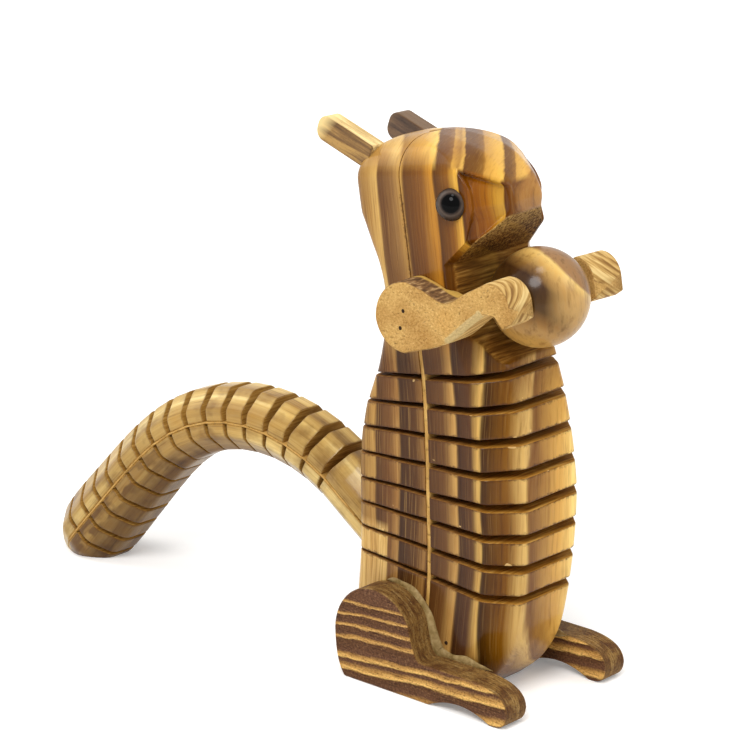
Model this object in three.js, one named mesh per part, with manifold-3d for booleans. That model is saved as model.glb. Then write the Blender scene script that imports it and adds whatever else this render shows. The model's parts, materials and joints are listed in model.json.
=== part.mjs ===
// Articulated wooden squirrel holding a ball, in millimetres.
// It faces -Y, +Z is up and its right side is -X. The floor is Z = 0.
// The body and the tail are each one shaped blank, sawn in two along a flexible strip and then
// sawn across on both sides of it, so that the strip bends at every saw cut.
import * as THREE from 'three';
import { mergeVertices } from 'three/addons/utils/BufferGeometryUtils.js';
import Module from 'manifold-3d';

const wasm = await Module();
wasm.setup();

// Saw cuts, strips and seats
const SAW_KERF = 1.1;
const STRIP_THICKNESS = 1.0;
const STRIP_RECESS = 0.3;
const GLUE_LINE = 0.2;
const TAIL_RELIEF = 1.0;

// Body: links counted upwards from the base, lengths along the strip
const BODY_RINGS = 7;
const BODY_RING_THICKNESS = 4.9;
const BODY_LEAN = 5.5;
const BODY_BEND = -1.85;
const BASE_HEIGHT = 24.5;
const BASE_STRIP_DEPTH = 14;
const HEAD_STRIP_DEPTH = 15;

// Body sections: half widths, and depths in front of and behind the strip
const BASE_HALF_WIDTH = 12.6;
const BELLY_HALF_WIDTH = 13.9;
const HEAD_HALF_WIDTH = 13.3;
const SOLE_DEPTH = 3.0;
const SOLE_FRONT = 7.0;
const BASE_FRONT = 19.8;
const BELLY_FRONT = 20.9;
const CHEST_FRONT = 17.5;
const THROAT_FRONT = 10.2;
const NOSE_FRONT = 21.0;
const BASE_BACK = 19.9;
const WAIST_BACK = 18.9;
const SHOULDER_BACK = 13.8;
const NECK_BACK = 8.8;
const HEAD_BACK = 12.5;
const FRONT_FLAT = 8.0;
const FRONT_CHAMFER = 5.9;
const THROAT_FLAT = 9.2;
const THROAT_CHAMFER = 2.4;
const NOSE_FLAT = 5.0;
const NOSE_CHAMFER = 5.8;
const BROW_FRONT = 17.7;
const BROW_CHAMFER = 5.8;
const CROWN_FLAT = 3.0;
const CROWN_BACK = 1.8;
const CORNER_ROUND = 3.0;
const FACE_SKEW = 0.13;

// Head: heights above the top saw cut
const CHEST_LIP_HEIGHT = 1.8;
const THROAT_LOW = 9.6;
const THROAT_HIGH = 22.6;
const NOSE_HEIGHT = 32.8;
const BROW_HEIGHT = 39.4;
const CROWN_HEIGHT = 47.3;

// Tail: links counted outwards from the root
const TAIL_RINGS = 15;
const TAIL_RING_THICKNESS = 4.9;
const TAIL_RISE = 35;
const TAIL_BEND = -7.8;
const TAIL_STRAIGHT_FROM = 13;
const TAIL_UNBEND_LINKS = 4;
const TAIL_SEAT_DROP = 0.4;
const TAIL_ROOT_LENGTH = 18.2;
const TAIL_ROOT_RADIUS = 7.3;
const TAIL_MIDDLE_RADIUS = 7.7;
const TAIL_END_RADIUS = 8.9;
const TAIL_TIP_LENGTH = 10.5;
const TAIL_TIP_RADIUS = 5.2;
const TAIL_FACET_DEPTH = 0.4;
const TAIL_FACETS = 8;
const TAIL_ROOT_STRIP_DEPTH = 11;
const TAIL_TIP_STRIP_DEPTH = 5;
const TENON_DIAMETER = 5;
const TENON_LENGTH = 8;
const TENON_DROP = 5;

// Ball, arms, legs, ears and eyes
const BALL_DIAMETER = 20;
const BALL_REACH = 21.2;
const BALL_HEIGHT = 13.8;
const ARM_THICKNESS = 8;
const ARM_TOE_IN = 5;
const ARM_SHOULDER_RADIUS = 7.2;
const ARM_SHOULDER_FRONT = 2.4;
const ARM_SHOULDER_HEIGHT = 13.2;
const ARM_CROOK = { front: 12.4, height: 16.1 };
const ARM_ELBOW = { front: 11.2, height: 7.9 };
const ARM_WRIST = { front: 21.4, height: 13.8 };
const ARM_PALM = { front: 25.3, height: 10.8 };
const ARM_PAW_REACH = 27.3;
const ARM_PAW_TOP = 19.9;
const ARM_PAW_ROUND = 4.6;
const ARM_PAW_BEVEL = 1.0;
const ARM_THUMB_DROP = 0.6;
const ARM_SHOULDER_SWEEP = { start: -80, end: 100, neck: 128 };
const LEG_THICKNESS = 6.5;
const LEG_HAUNCH_RADIUS = 10.5;
const LEG_HAUNCH_BACK = 9.3;
const LEG_HAUNCH_SWEEP = 152;
const LEG_HEEL_BACK = 17.3;
const LEG_KNEE_FRONT = 3.2;
const LEG_FOOT_HEIGHT = 8.3;
const LEG_TOE_REACH = 25.8;
const LEG_TOE_ROUND = 3.4;
const LEG_ARCH_FRONT = 21.5;
const LEG_ARCH_BACK = 5.5;
const LEG_ARCH_HEIGHT = 4.0;
const RIGHT_EAR_LENGTH = 11.9;
const LEFT_EAR_LENGTH = 10.2;
const RIGHT_EAR_HEIGHT = 5.3;
const LEFT_EAR_HEIGHT = 5.8;
const EAR_END_ROUND = 2;
const EAR_RISE = 29;
const EAR_THICKNESS = 4;
const EAR_SPREAD = 9.6;
const EAR_ROOT_BACK = 11.3;
const RIGHT_EAR_ROOT_HEIGHT = 45.0;
const LEFT_EAR_ROOT_HEIGHT = 43.5;
const EYE_DIAMETER = 6.5;
const EYE_DOME = 3.0;
const EYE_SINK = 0.2;
const EYE_STEM_DIAMETER = 2.4;
const EYE_STEM_LENGTH = 5;
const RIGHT_EYE_FRONT = 12.8;
const LEFT_EYE_FRONT = 8;
const EYE_HEIGHT = 34.4;

// Finish of each kind of piece
const WOOD = { body: 0xb07a3c, head: 0xa56a30, tail: 0xc9a266, arm: 0xc39a5c, leg: 0x6f4522 };
const STRIP_COLOUR = 0xd9c08f;
const BALL_COLOUR = 0xa97a43;
const EYE_COLOUR = 0x111111;
const VARNISHED = 0.3;
const BARE = 0.75;

// Mesh resolution
const CORNER_STEPS = 3;
const BASE_STEPS = 6;
const RING_STEPS = 2;
const HEAD_STEPS = 18;
const CROWN_STEPS = 6;
const TAIL_SIDES = 2 * TAIL_FACETS;
const OUTLINE_STEPS = 4;
const ROUND_STEPS = 24;
const BEYOND = 200;

const { degToRad, lerp, clamp } = THREE.MathUtils;
const bodyPitch = BODY_RING_THICKNESS + SAW_KERF;
const tailPitch = TAIL_RING_THICKNESS + SAW_KERF;
const bodyKerfs = BODY_RINGS + 1;
const tailKerfs = TAIL_RINGS + 1;
const stackHeight = BODY_RINGS * bodyPitch;
const slotHalf = STRIP_THICKNESS / 2 + GLUE_LINE;

function finish(color, roughness) {
  return new THREE.MeshStandardMaterial({ color, roughness, metalness: 0 });
}

// Closed solid from three.js geometry, ready to be cut or joined
function solid(geometry) {
  const bare = geometry.index ? geometry.toNonIndexed() : geometry.clone();
  bare.deleteAttribute('normal');
  bare.deleteAttribute('uv');
  const merged = mergeVertices(bare, 1e-4);
  const mesh = new wasm.Mesh({
    numProp: 3,
    vertProperties: new Float32Array(merged.attributes.position.array),
    triVerts: new Uint32Array(merged.index.array),
  });
  return new wasm.Manifold(mesh);
}

function geometryOf(manifold) {
  const mesh = manifold.getMesh();
  const geometry = new THREE.BufferGeometry();
  geometry.setAttribute('position', new THREE.BufferAttribute(mesh.vertProperties, 3));
  geometry.setIndex(new THREE.BufferAttribute(mesh.triVerts, 1));
  geometry.computeVertexNormals();
  return geometry;
}

function addPiece(parent, name, shape, material) {
  const geometry = shape.isBufferGeometry ? shape : geometryOf(shape);
  const mesh = new THREE.Mesh(geometry, material);
  mesh.name = name;
  parent.add(mesh);
  return mesh;
}

// Box between two corners
function boxBetween(low, high) {
  const size = new THREE.Vector3().subVectors(high, low);
  const centre = new THREE.Vector3().addVectors(low, high).multiplyScalar(0.5);
  return new THREE.BoxGeometry(size.x, size.y, size.z).translate(centre.x, centre.y, centre.z);
}

// Slab across the whole width, between two depths and two heights
function slab(y0, y1, z0, z1) {
  return solid(boxBetween(new THREE.Vector3(-BEYOND, y0, z0), new THREE.Vector3(BEYOND, y1, z1)));
}

// Everything below the floor, in the frame of a group
function belowFloor(group) {
  const deepest = new THREE.Vector3(-BEYOND, -BEYOND, -BEYOND);
  const ground = boxBetween(deepest, new THREE.Vector3(BEYOND, BEYOND, 0));
  return solid(ground.applyMatrix4(group.matrixWorld.clone().invert()));
}

// Closed skin through rings of points, all with the same count, with a fan over each end
function loft(rings) {
  const count = rings[0].length;
  const positions = [];
  const index = [];
  rings.flat().forEach((point) => positions.push(point.x, point.y, point.z));
  for (let level = 0; level < rings.length - 1; level += 1) {
    for (let i = 0; i < count; i += 1) {
      const a = level * count + i;
      const b = level * count + ((i + 1) % count);
      index.push(a, b, b + count, a, b + count, a + count);
    }
  }
  [rings[0], rings[rings.length - 1]].forEach((ring, end) => {
    const centre = ring.reduce((sum, point) => sum.add(point), new THREE.Vector3()).divideScalar(count);
    const hub = positions.length / 3;
    const first = end === 0 ? 0 : (rings.length - 1) * count;
    positions.push(centre.x, centre.y, centre.z);
    for (let i = 0; i < count; i += 1) {
      const a = first + i;
      const b = first + ((i + 1) % count);
      if (end === 0) index.push(hub, b, a);
      else index.push(hub, a, b);
    }
  });
  const geometry = new THREE.BufferGeometry();
  geometry.setAttribute('position', new THREE.Float32BufferAttribute(positions, 3));
  geometry.setIndex(index);
  return geometry;
}

// Ring of points round a polygon whose corners are rounded over the given lengths
function roundedRing(corners, rounding, z) {
  const count = corners.length;
  return corners.flatMap((corner, i) => {
    const before = corners[(i + count - 1) % count];
    const after = corners[(i + 1) % count];
    const start = corner.clone().lerp(before, Math.min(0.45, rounding[i] / corner.distanceTo(before)));
    const end = corner.clone().lerp(after, Math.min(0.45, rounding[i] / corner.distanceTo(after)));
    const arc = new THREE.QuadraticBezierCurve(start, corner, end);
    return arc.getPoints(CORNER_STEPS).map((point) => new THREE.Vector3(point.x, point.y, z));
  });
}

// Smooth curves through stations [place, value, value, ...]
function curvesThrough(stations) {
  const places = stations.map((station) => station[0]);
  const values = stations.flatMap((station) => station.slice(1));
  const size = stations[0].length - 1;
  const curve = new THREE.CubicInterpolant(places, values, size, new Float64Array(size));
  return (place) => Array.from(curve.evaluate(place));
}

// Sections of the body blank, by height along the strip from the lowest saw cut: half width, depth
// in front of the strip and behind it, half width of the front flat, depth of the front chamfers and
// skew, which is how much further back the front lies for each step to the left.
// Each station repeats the one before it apart from what is given.
const headAt = (height) => stackHeight + height;
const stations = [];

function station(height, change) {
  stations.push({ ...stations.at(-1), ...change, height });
}

station(-BASE_HEIGHT - SOLE_DEPTH, {
  half: BASE_HALF_WIDTH, front: SOLE_FRONT, back: BASE_BACK, flat: FRONT_FLAT, chamfer: FRONT_CHAMFER,
  skew: 0,
});
station(-BASE_HEIGHT, { front: lerp(SOLE_FRONT, BASE_FRONT, 0.2) });
station(-BASE_HEIGHT * 0.77, { front: lerp(SOLE_FRONT, BASE_FRONT, 0.62) });
station(-BASE_HEIGHT * 0.5, { front: lerp(SOLE_FRONT, BASE_FRONT, 0.89) });
station(-BASE_HEIGHT * 0.2, { front: BASE_FRONT });
station(stackHeight * 0.38, {
  half: BELLY_HALF_WIDTH, front: BELLY_FRONT, back: lerp(BASE_BACK, WAIST_BACK, 0.5),
});
station(stackHeight * 0.62, { front: lerp(BELLY_FRONT, CHEST_FRONT, 0.22), back: WAIST_BACK });
station(stackHeight * 0.83, {
  half: lerp(BELLY_HALF_WIDTH, HEAD_HALF_WIDTH, 0.5),
  front: lerp(BELLY_FRONT, CHEST_FRONT, 0.6),
  back: lerp(WAIST_BACK, SHOULDER_BACK, 0.38),
});
station(headAt(0), { half: HEAD_HALF_WIDTH, front: CHEST_FRONT, back: SHOULDER_BACK });
station(headAt(CHEST_LIP_HEIGHT), {
  front: lerp(CHEST_FRONT, THROAT_FRONT, 0.08), back: lerp(SHOULDER_BACK, NECK_BACK, 0.18),
});
station(headAt(lerp(CHEST_LIP_HEIGHT, THROAT_LOW, 0.5)), {
  front: lerp(CHEST_FRONT, THROAT_FRONT, 0.52),
  back: lerp(SHOULDER_BACK, NECK_BACK, 0.5),
  flat: lerp(FRONT_FLAT, THROAT_FLAT, 0.7),
  chamfer: lerp(FRONT_CHAMFER, THROAT_CHAMFER, 0.7),
});
station(headAt(THROAT_LOW), {
  front: THROAT_FRONT,
  back: lerp(SHOULDER_BACK, NECK_BACK, 0.76),
  flat: THROAT_FLAT,
  chamfer: THROAT_CHAMFER,
});
station(headAt(lerp(THROAT_LOW, THROAT_HIGH, 0.6)), { back: NECK_BACK });
station(headAt(THROAT_HIGH), { back: lerp(NECK_BACK, HEAD_BACK, 0.15) });
station(headAt(lerp(THROAT_HIGH, NOSE_HEIGHT, 0.4)), {
  front: lerp(THROAT_FRONT, NOSE_FRONT, 0.5),
  back: lerp(NECK_BACK, HEAD_BACK, 0.5),
  flat: lerp(THROAT_FLAT, NOSE_FLAT, 0.3),
  chamfer: lerp(THROAT_CHAMFER, NOSE_CHAMFER, 0.35),
  skew: lerp(0, FACE_SKEW, 0.4),
});
station(headAt(lerp(THROAT_HIGH, NOSE_HEIGHT, 0.8)), {
  front: lerp(THROAT_FRONT, NOSE_FRONT, 0.93),
  back: lerp(NECK_BACK, HEAD_BACK, 0.84),
  flat: lerp(THROAT_FLAT, NOSE_FLAT, 0.85),
  chamfer: lerp(THROAT_CHAMFER, NOSE_CHAMFER, 0.9),
  skew: lerp(0, FACE_SKEW, 0.9),
});
station(headAt(NOSE_HEIGHT), {
  front: NOSE_FRONT, back: HEAD_BACK, flat: NOSE_FLAT, chamfer: NOSE_CHAMFER, skew: FACE_SKEW,
});
station(headAt(lerp(NOSE_HEIGHT, BROW_HEIGHT, 0.6)), { front: lerp(NOSE_FRONT, BROW_FRONT, 0.3) });

// The crown closes over the brow: round at the sides and the back, sloping at the front
for (let step = 0; step <= CROWN_STEPS; step += 1) {
  const turn = (step / CROWN_STEPS) * (Math.PI / 2);
  const round = Math.cos(turn);
  const slope = round ** 2;
  station(headAt(lerp(BROW_HEIGHT, CROWN_HEIGHT, Math.sin(turn))), {
    half: lerp(CROWN_FLAT, HEAD_HALF_WIDTH, round),
    front: lerp(CROWN_FLAT - CROWN_BACK, BROW_FRONT, slope),
    back: lerp(CROWN_FLAT + CROWN_BACK, HEAD_BACK, round),
    flat: lerp(CROWN_FLAT / 2, NOSE_FLAT, round),
    chamfer: lerp(CROWN_FLAT / 2, BROW_CHAMFER, slope),
    skew: lerp(0, FACE_SKEW, slope),
  });
}

const FIELDS = ['half', 'front', 'back', 'flat', 'chamfer', 'skew'];
const sideView = curvesThrough(stations.map((level) => {
  return [level.height, ...FIELDS.map((field) => level[field])];
}));

// One level of the body blank, grown outwards by a margin
function bodyRing(height, grown) {
  const [half, front, back, flat, chamfer, skew] = sideView(height);
  const w = half + grown;
  const f = front + grown;
  const b = back + grown;
  const corners = [
    new THREE.Vector2(w, b),
    new THREE.Vector2(-w, b),
    new THREE.Vector2(-w, -f + chamfer - skew * w),
    new THREE.Vector2(-flat, -f - skew * flat),
    new THREE.Vector2(flat, -f + skew * flat),
    new THREE.Vector2(w, -f + chamfer + skew * w),
  ];
  const soft = Math.min(CORNER_ROUND, half / 2);
  return roundedRing(corners, [soft, soft, chamfer / 2, chamfer / 2, chamfer / 2, chamfer / 2], height);
}

function bodyBlank(grown = 0) {
  const levels = [];
  const topOfHead = headAt(BROW_HEIGHT);
  for (let step = 0; step < BASE_STEPS; step += 1) {
    levels.push(lerp(-BASE_HEIGHT - SOLE_DEPTH, 0, step / BASE_STEPS));
  }
  for (let step = 0; step < BODY_RINGS * RING_STEPS; step += 1) {
    levels.push((step * bodyPitch) / RING_STEPS);
  }
  for (let step = 0; step < HEAD_STEPS; step += 1) {
    levels.push(lerp(stackHeight, topOfHead, step / HEAD_STEPS));
  }
  const crown = stations.slice(-CROWN_STEPS - 1).map((level) => level.height);
  return solid(loft([...levels, ...crown].map((height) => bodyRing(height, grown))));
}

// Half width of the body at a height, where its strip shows
const bodyHalfWidth = (height) => sideView(height)[0];

// Radius of the tail at a distance from its first saw cut
const tailLength = TAIL_RINGS * tailPitch;
const tailRadius = (place) => tailProfile(place)[0];
const tailProfile = curvesThrough([
  [-TAIL_ROOT_LENGTH * 2, TAIL_ROOT_RADIUS],
  [0, TAIL_ROOT_RADIUS],
  [tailLength * 0.45, TAIL_MIDDLE_RADIUS],
  [tailLength * 0.85, TAIL_END_RADIUS],
  [tailLength + TAIL_TIP_LENGTH * 0.35, TAIL_END_RADIUS],
  [tailLength + TAIL_TIP_LENGTH * 0.8, lerp(TAIL_END_RADIUS, TAIL_TIP_RADIUS, 0.6)],
  [tailLength + TAIL_TIP_LENGTH, TAIL_TIP_RADIUS],
]);

// One level of the tail blank: round, drawn in a little at soft facets
function tailRing(place) {
  const points = [];
  for (let side = 0; side < TAIL_SIDES; side += 1) {
    const turn = (side / TAIL_SIDES) * 2 * Math.PI;
    const facet = (TAIL_FACET_DEPTH * (1 + Math.cos(TAIL_FACETS * turn))) / 2;
    const radius = tailRadius(place) - facet;
    points.push(new THREE.Vector3(radius * Math.cos(turn), radius * Math.sin(turn), place));
  }
  return points;
}

function tailBlank() {
  const levels = [-TAIL_ROOT_LENGTH * 2];
  for (let step = 0; step <= TAIL_RINGS; step += 1) levels.push(step * tailPitch);
  [0.35, 0.6, 0.8, 0.92, 1].forEach((share) => levels.push(tailLength + TAIL_TIP_LENGTH * share));
  return solid(loft(levels.map(tailRing)));
}

// Groups hinged one on the next, each at the end of the last link and turned by its rest bend
function chain(parent, bends, pitch, name) {
  const links = [];
  bends.forEach((bend, i) => {
    const link = new THREE.Group();
    link.name = `${name}_${i + 1}`;
    link.position.z = i === 0 ? 0 : pitch;
    link.rotation.x = degToRad(bend);
    (i === 0 ? parent : links[i - 1]).add(link);
    links.push(link);
  });
  return links;
}

const squirrel = new THREE.Group();
squirrel.name = 'wooden_squirrel';

// The base leans forward a little, and the rings lean back again one by one
const baseGroup = new THREE.Group();
baseGroup.position.z = BASE_HEIGHT;
baseGroup.rotation.x = degToRad(BODY_LEAN);
squirrel.add(baseGroup);
const bodyLinks = chain(baseGroup, Array(bodyKerfs).fill(BODY_BEND), bodyPitch, 'body_hinge');
const headGroup = bodyLinks[BODY_RINGS];

// The tail rises from the back of the base and bends over towards the floor
const tailGroup = new THREE.Group();
const tailTurn = degToRad(TAIL_RISE - 90 - BODY_LEAN);
tailGroup.position.set(0, BASE_BACK, -TAIL_SEAT_DROP);
tailGroup.rotation.x = tailTurn;
tailGroup.translateZ(TAIL_ROOT_LENGTH);
baseGroup.add(tailGroup);
const tailBends = Array.from({ length: tailKerfs }, (_, i) => {
  return TAIL_BEND * clamp((TAIL_STRAIGHT_FROM - 1 - i) / TAIL_UNBEND_LINKS, 0, 1);
});
const tailLinks = chain(tailGroup, tailBends, tailPitch, 'tail_hinge');
squirrel.updateMatrixWorld(true);

const bodyFinish = finish(WOOD.body, VARNISHED);
const headFinish = finish(WOOD.head, VARNISHED);
const tailFinish = finish(WOOD.tail, VARNISHED);
const armFinish = finish(WOOD.arm, BARE);
const legFinish = finish(WOOD.leg, BARE);
const stripFinish = finish(STRIP_COLOUR, BARE);

// Body pieces sawn from the blank
const body = bodyBlank();
const bodyGrown = bodyBlank(GLUE_LINE);

function shift(manifold, z) {
  return geometryOf(manifold).translate(0, 0, z);
}

const baseTop = -SAW_KERF / 2;
const tenonRadius = TENON_DIAMETER / 2;

// Round peg along Y, from the back of the base inwards
function tenon(clearance) {
  const length = TENON_LENGTH + 2 * clearance;
  const radius = tenonRadius + clearance;
  const peg = new THREE.CylinderGeometry(radius, radius, length, ROUND_STEPS);
  return peg.translate(0, BASE_BACK - TENON_LENGTH / 2 + clearance, -TENON_DROP);
}

const base = body
  .intersect(slab(-BEYOND, BEYOND, -BEYOND, baseTop))
  .subtract(belowFloor(baseGroup))
  .subtract(slab(-slotHalf, slotHalf, -BASE_STRIP_DEPTH - GLUE_LINE, BEYOND))
  .subtract(solid(tenon(GLUE_LINE)));
addPiece(baseGroup, 'base', base, bodyFinish);

for (let ring = 1; ring <= BODY_RINGS; ring += 1) {
  const low = (ring - 1) * bodyPitch + SAW_KERF / 2;
  const high = ring * bodyPitch - SAW_KERF / 2;
  const drop = -(ring - 1) * bodyPitch;
  const front = body.intersect(slab(-BEYOND, -slotHalf, low, high));
  const back = body.intersect(slab(slotHalf, BEYOND, low, high));
  addPiece(bodyLinks[ring - 1], `body_ring_${ring}_front`, shift(front, drop), bodyFinish);
  addPiece(bodyLinks[ring - 1], `body_ring_${ring}_back`, shift(back, drop), bodyFinish);
}

// Eyes: domes on stems set into the sides of the head
const eyeRadius = EYE_DIAMETER / 2;
const eyeStemRadius = EYE_STEM_DIAMETER / 2;

function eyeGeometry() {
  const profile = [
    new THREE.Vector2(0, -EYE_STEM_LENGTH),
    new THREE.Vector2(eyeStemRadius, -EYE_STEM_LENGTH),
    new THREE.Vector2(eyeStemRadius, 0),
  ];
  for (let step = 0; step <= CROWN_STEPS; step += 1) {
    const turn = (step / CROWN_STEPS) * (Math.PI / 2);
    profile.push(new THREE.Vector2(eyeRadius * Math.cos(turn), EYE_DOME * Math.sin(turn)));
  }
  profile[profile.length - 1].x = 0;
  return new THREE.LatheGeometry(profile, ROUND_STEPS);
}

// Places an eye or its hole in one side of the head, sunk below the surface
function onSide(geometry, side) {
  geometry.rotateZ((-side * Math.PI) / 2);
  const front = side < 0 ? RIGHT_EYE_FRONT : LEFT_EYE_FRONT;
  return geometry.translate(side * (HEAD_HALF_WIDTH - EYE_SINK), -front, EYE_HEIGHT);
}

// Round hole from a depth below the seat of the eye out through the surface
function eyeBore(side, radius, depth) {
  const length = depth + EYE_SINK + EYE_DOME;
  const bore = new THREE.CylinderGeometry(radius, radius, length, ROUND_STEPS);
  return solid(onSide(bore.translate(0, length / 2 - depth, 0), side).translate(0, 0, stackHeight));
}

function eyeHole(side) {
  const seat = eyeBore(side, eyeRadius + GLUE_LINE, GLUE_LINE);
  return seat.add(eyeBore(side, eyeStemRadius + GLUE_LINE, EYE_STEM_LENGTH + GLUE_LINE));
}

const headLow = stackHeight + SAW_KERF / 2;
const headSlot = slab(-slotHalf, slotHalf, -BEYOND, headAt(HEAD_STRIP_DEPTH + GLUE_LINE));
const headFront = body
  .intersect(slab(-BEYOND, -GLUE_LINE / 2, headLow, BEYOND))
  .subtract(headSlot)
  .subtract(eyeHole(-1))
  .subtract(eyeHole(1));
const headBack = body.intersect(slab(GLUE_LINE / 2, BEYOND, headLow, BEYOND)).subtract(headSlot);
addPiece(headGroup, 'head_front', shift(headFront, -stackHeight), headFinish);
addPiece(headGroup, 'head_back', shift(headBack, -stackHeight), headFinish);

// Strips: flat bands that follow the links, at their half width for each place
function strip(stops) {
  const half = STRIP_THICKNESS / 2;
  const rings = stops.map(({ link, z, width }) => {
    const corners = [[-width, -half], [width, -half], [width, half], [-width, half]];
    return corners.map(([x, y]) => link.localToWorld(new THREE.Vector3(x, y, z)));
  });
  return loft(rings);
}

// Two stops on each link, clear of the saw cuts, between the ends set into the first and last piece
function stripStops(firstLink, links, pitch, widthAt, startDepth, endDepth) {
  const stops = [
    { link: firstLink, z: -startDepth, width: widthAt(-startDepth) - STRIP_RECESS },
    { link: firstLink, z: -SAW_KERF / 2, width: widthAt(0) - STRIP_RECESS },
  ];
  links.forEach((link, i) => {
    const last = i === links.length - 1;
    const end = last ? endDepth : pitch - SAW_KERF / 2;
    stops.push({ link, z: SAW_KERF / 2, width: widthAt(i * pitch) - STRIP_RECESS });
    stops.push({ link, z: end, width: widthAt(i * pitch + end) - STRIP_RECESS });
  });
  return stops;
}

const bodyStops = stripStops(
  baseGroup, bodyLinks, bodyPitch, bodyHalfWidth, BASE_STRIP_DEPTH, HEAD_STRIP_DEPTH);
addPiece(squirrel, 'body_strip', strip(bodyStops), stripFinish);

// Tail pieces sawn from the blank
const tail = tailBlank();
const tailSlot = slab(-slotHalf, slotHalf, -TAIL_ROOT_STRIP_DEPTH - GLUE_LINE, BEYOND);
const toTail = tailGroup.matrix.clone().invert();
const bodyAtTail = solid(geometryOf(bodyGrown).applyMatrix4(toTail));
const ringsGrown = bodyBlank(TAIL_RELIEF).intersect(slab(-BEYOND, BEYOND, baseTop, BEYOND));
const ringsAtTail = solid(geometryOf(ringsGrown).applyMatrix4(toTail));
const tailTenon = solid(tenon(0).translate(0, GLUE_LINE, 0).applyMatrix4(toTail));
const tailRoot = tail
  .intersect(slab(-BEYOND, BEYOND, -BEYOND, -SAW_KERF / 2))
  .subtract(bodyAtTail)
  .subtract(ringsAtTail)
  .subtract(tailSlot)
  .add(tailTenon);
addPiece(tailGroup, 'tail_root', tailRoot, tailFinish);

for (let ring = 1; ring <= TAIL_RINGS; ring += 1) {
  const low = (ring - 1) * tailPitch + SAW_KERF / 2;
  const high = ring * tailPitch - SAW_KERF / 2;
  const drop = -(ring - 1) * tailPitch;
  const label = String(ring).padStart(2, '0');
  const upper = tail.intersect(slab(-BEYOND, -slotHalf, low, high));
  const lower = tail.intersect(slab(slotHalf, BEYOND, low, high));
  addPiece(tailLinks[ring - 1], `tail_ring_${label}_upper`, shift(upper, drop), tailFinish);
  addPiece(tailLinks[ring - 1], `tail_ring_${label}_lower`, shift(lower, drop), tailFinish);
}

const tipLink = tailLinks[TAIL_RINGS];
const tailTip = tail
  .intersect(slab(-BEYOND, BEYOND, tailLength + SAW_KERF / 2, BEYOND))
  .subtract(slab(-slotHalf, slotHalf, -BEYOND, tailLength + TAIL_TIP_STRIP_DEPTH + GLUE_LINE));
addPiece(tipLink, 'tail_tip', solid(shift(tailTip, -tailLength)).subtract(belowFloor(tipLink)), tailFinish);
const tailStops = stripStops(
  tailGroup, tailLinks, tailPitch, tailRadius, TAIL_ROOT_STRIP_DEPTH, TAIL_TIP_STRIP_DEPTH);
addPiece(squirrel, 'tail_strip', strip(tailStops), stripFinish);

// Plate with an outline in the side view (depth along Y, height along Z), standing from X = 0
function plate(outline, depth) {
  const settings = { depth, bevelEnabled: false, curveSegments: OUTLINE_STEPS };
  const geometry = new THREE.ExtrudeGeometry(outline, settings);
  const toSideView = new THREE.Matrix4().makeBasis(
    new THREE.Vector3(0, 1, 0), new THREE.Vector3(0, 0, 1), new THREE.Vector3(1, 0, 0));
  return geometry.applyMatrix4(toSideView);
}

// The same solid on the other side, with its faces turned to point out again
function mirrored(geometry) {
  const copy = geometry.index ? geometry.toNonIndexed() : geometry.clone();
  copy.deleteAttribute('normal');
  copy.scale(-1, 1, 1);
  const { count } = copy.attributes.position;
  copy.setIndex(Array.from({ length: count }, (_, i) => i + 2 - 2 * (i % 3)));
  return copy;
}

// Ball held between the paws
const ballRadius = BALL_DIAMETER / 2;
const ball = new THREE.SphereGeometry(ballRadius, ROUND_STEPS, ROUND_STEPS / 2);
addPiece(headGroup, 'ball', ball.translate(0, -BALL_REACH, BALL_HEIGHT), finish(BALL_COLOUR, VARNISHED));

const inFront = ({ front, height }) => new THREE.Vector2(-front, height);

// Arms: S-shaped plates from the shoulders to the paws that hold the ball
function armOutline() {
  const shoulder = new THREE.Vector2(-ARM_SHOULDER_FRONT, ARM_SHOULDER_HEIGHT);
  const rim = (degrees) => {
    const spoke = new THREE.Vector2(ARM_SHOULDER_RADIUS, 0);
    return spoke.rotateAround(new THREE.Vector2(), degToRad(degrees)).add(shoulder);
  };
  const { start, end, neck } = ARM_SHOULDER_SWEEP;
  const knuckle = new THREE.Vector2(-ARM_PAW_REACH + ARM_PAW_ROUND, ARM_PAW_TOP);
  const lowerArm = inFront(ARM_ELBOW).lerp(inFront(ARM_WRIST), 0.62);
  const outline = new THREE.Shape();
  outline.absarc(shoulder.x, shoulder.y, ARM_SHOULDER_RADIUS, degToRad(start), degToRad(end), false);
  const upperArm = inFront(ARM_CROOK).lerp(knuckle, 0.5);
  outline.splineThru([rim(neck), inFront(ARM_CROOK), upperArm, knuckle]);
  outline.quadraticCurveTo(-ARM_PAW_REACH, ARM_PAW_TOP, -ARM_PAW_REACH, ARM_PAW_TOP - ARM_PAW_ROUND);
  outline.lineTo(-ARM_PAW_REACH, ARM_PALM.height + ARM_PAW_BEVEL);
  outline.lineTo(-ARM_PALM.front, ARM_PALM.height);
  outline.lineTo(-lerp(ARM_PALM.front, ARM_WRIST.front, 0.4), ARM_WRIST.height - ARM_THUMB_DROP);
  outline.splineThru([inFront(ARM_WRIST), lowerArm, inFront(ARM_ELBOW), rim(start)]);
  return outline;
}

const arm = plate(armOutline(), ARM_THICKNESS)
  .translate(0, BALL_REACH, 0)
  .rotateZ(degToRad(-ARM_TOE_IN))
  .translate(ballRadius + GLUE_LINE, -BALL_REACH, 0);
const headGrown = solid(shift(bodyGrown, -stackHeight));
const armSolid = solid(arm).subtract(headGrown);
addPiece(headGroup, 'left_arm', armSolid, armFinish);
addPiece(headGroup, 'right_arm', mirrored(geometryOf(armSolid)), armFinish);

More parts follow.
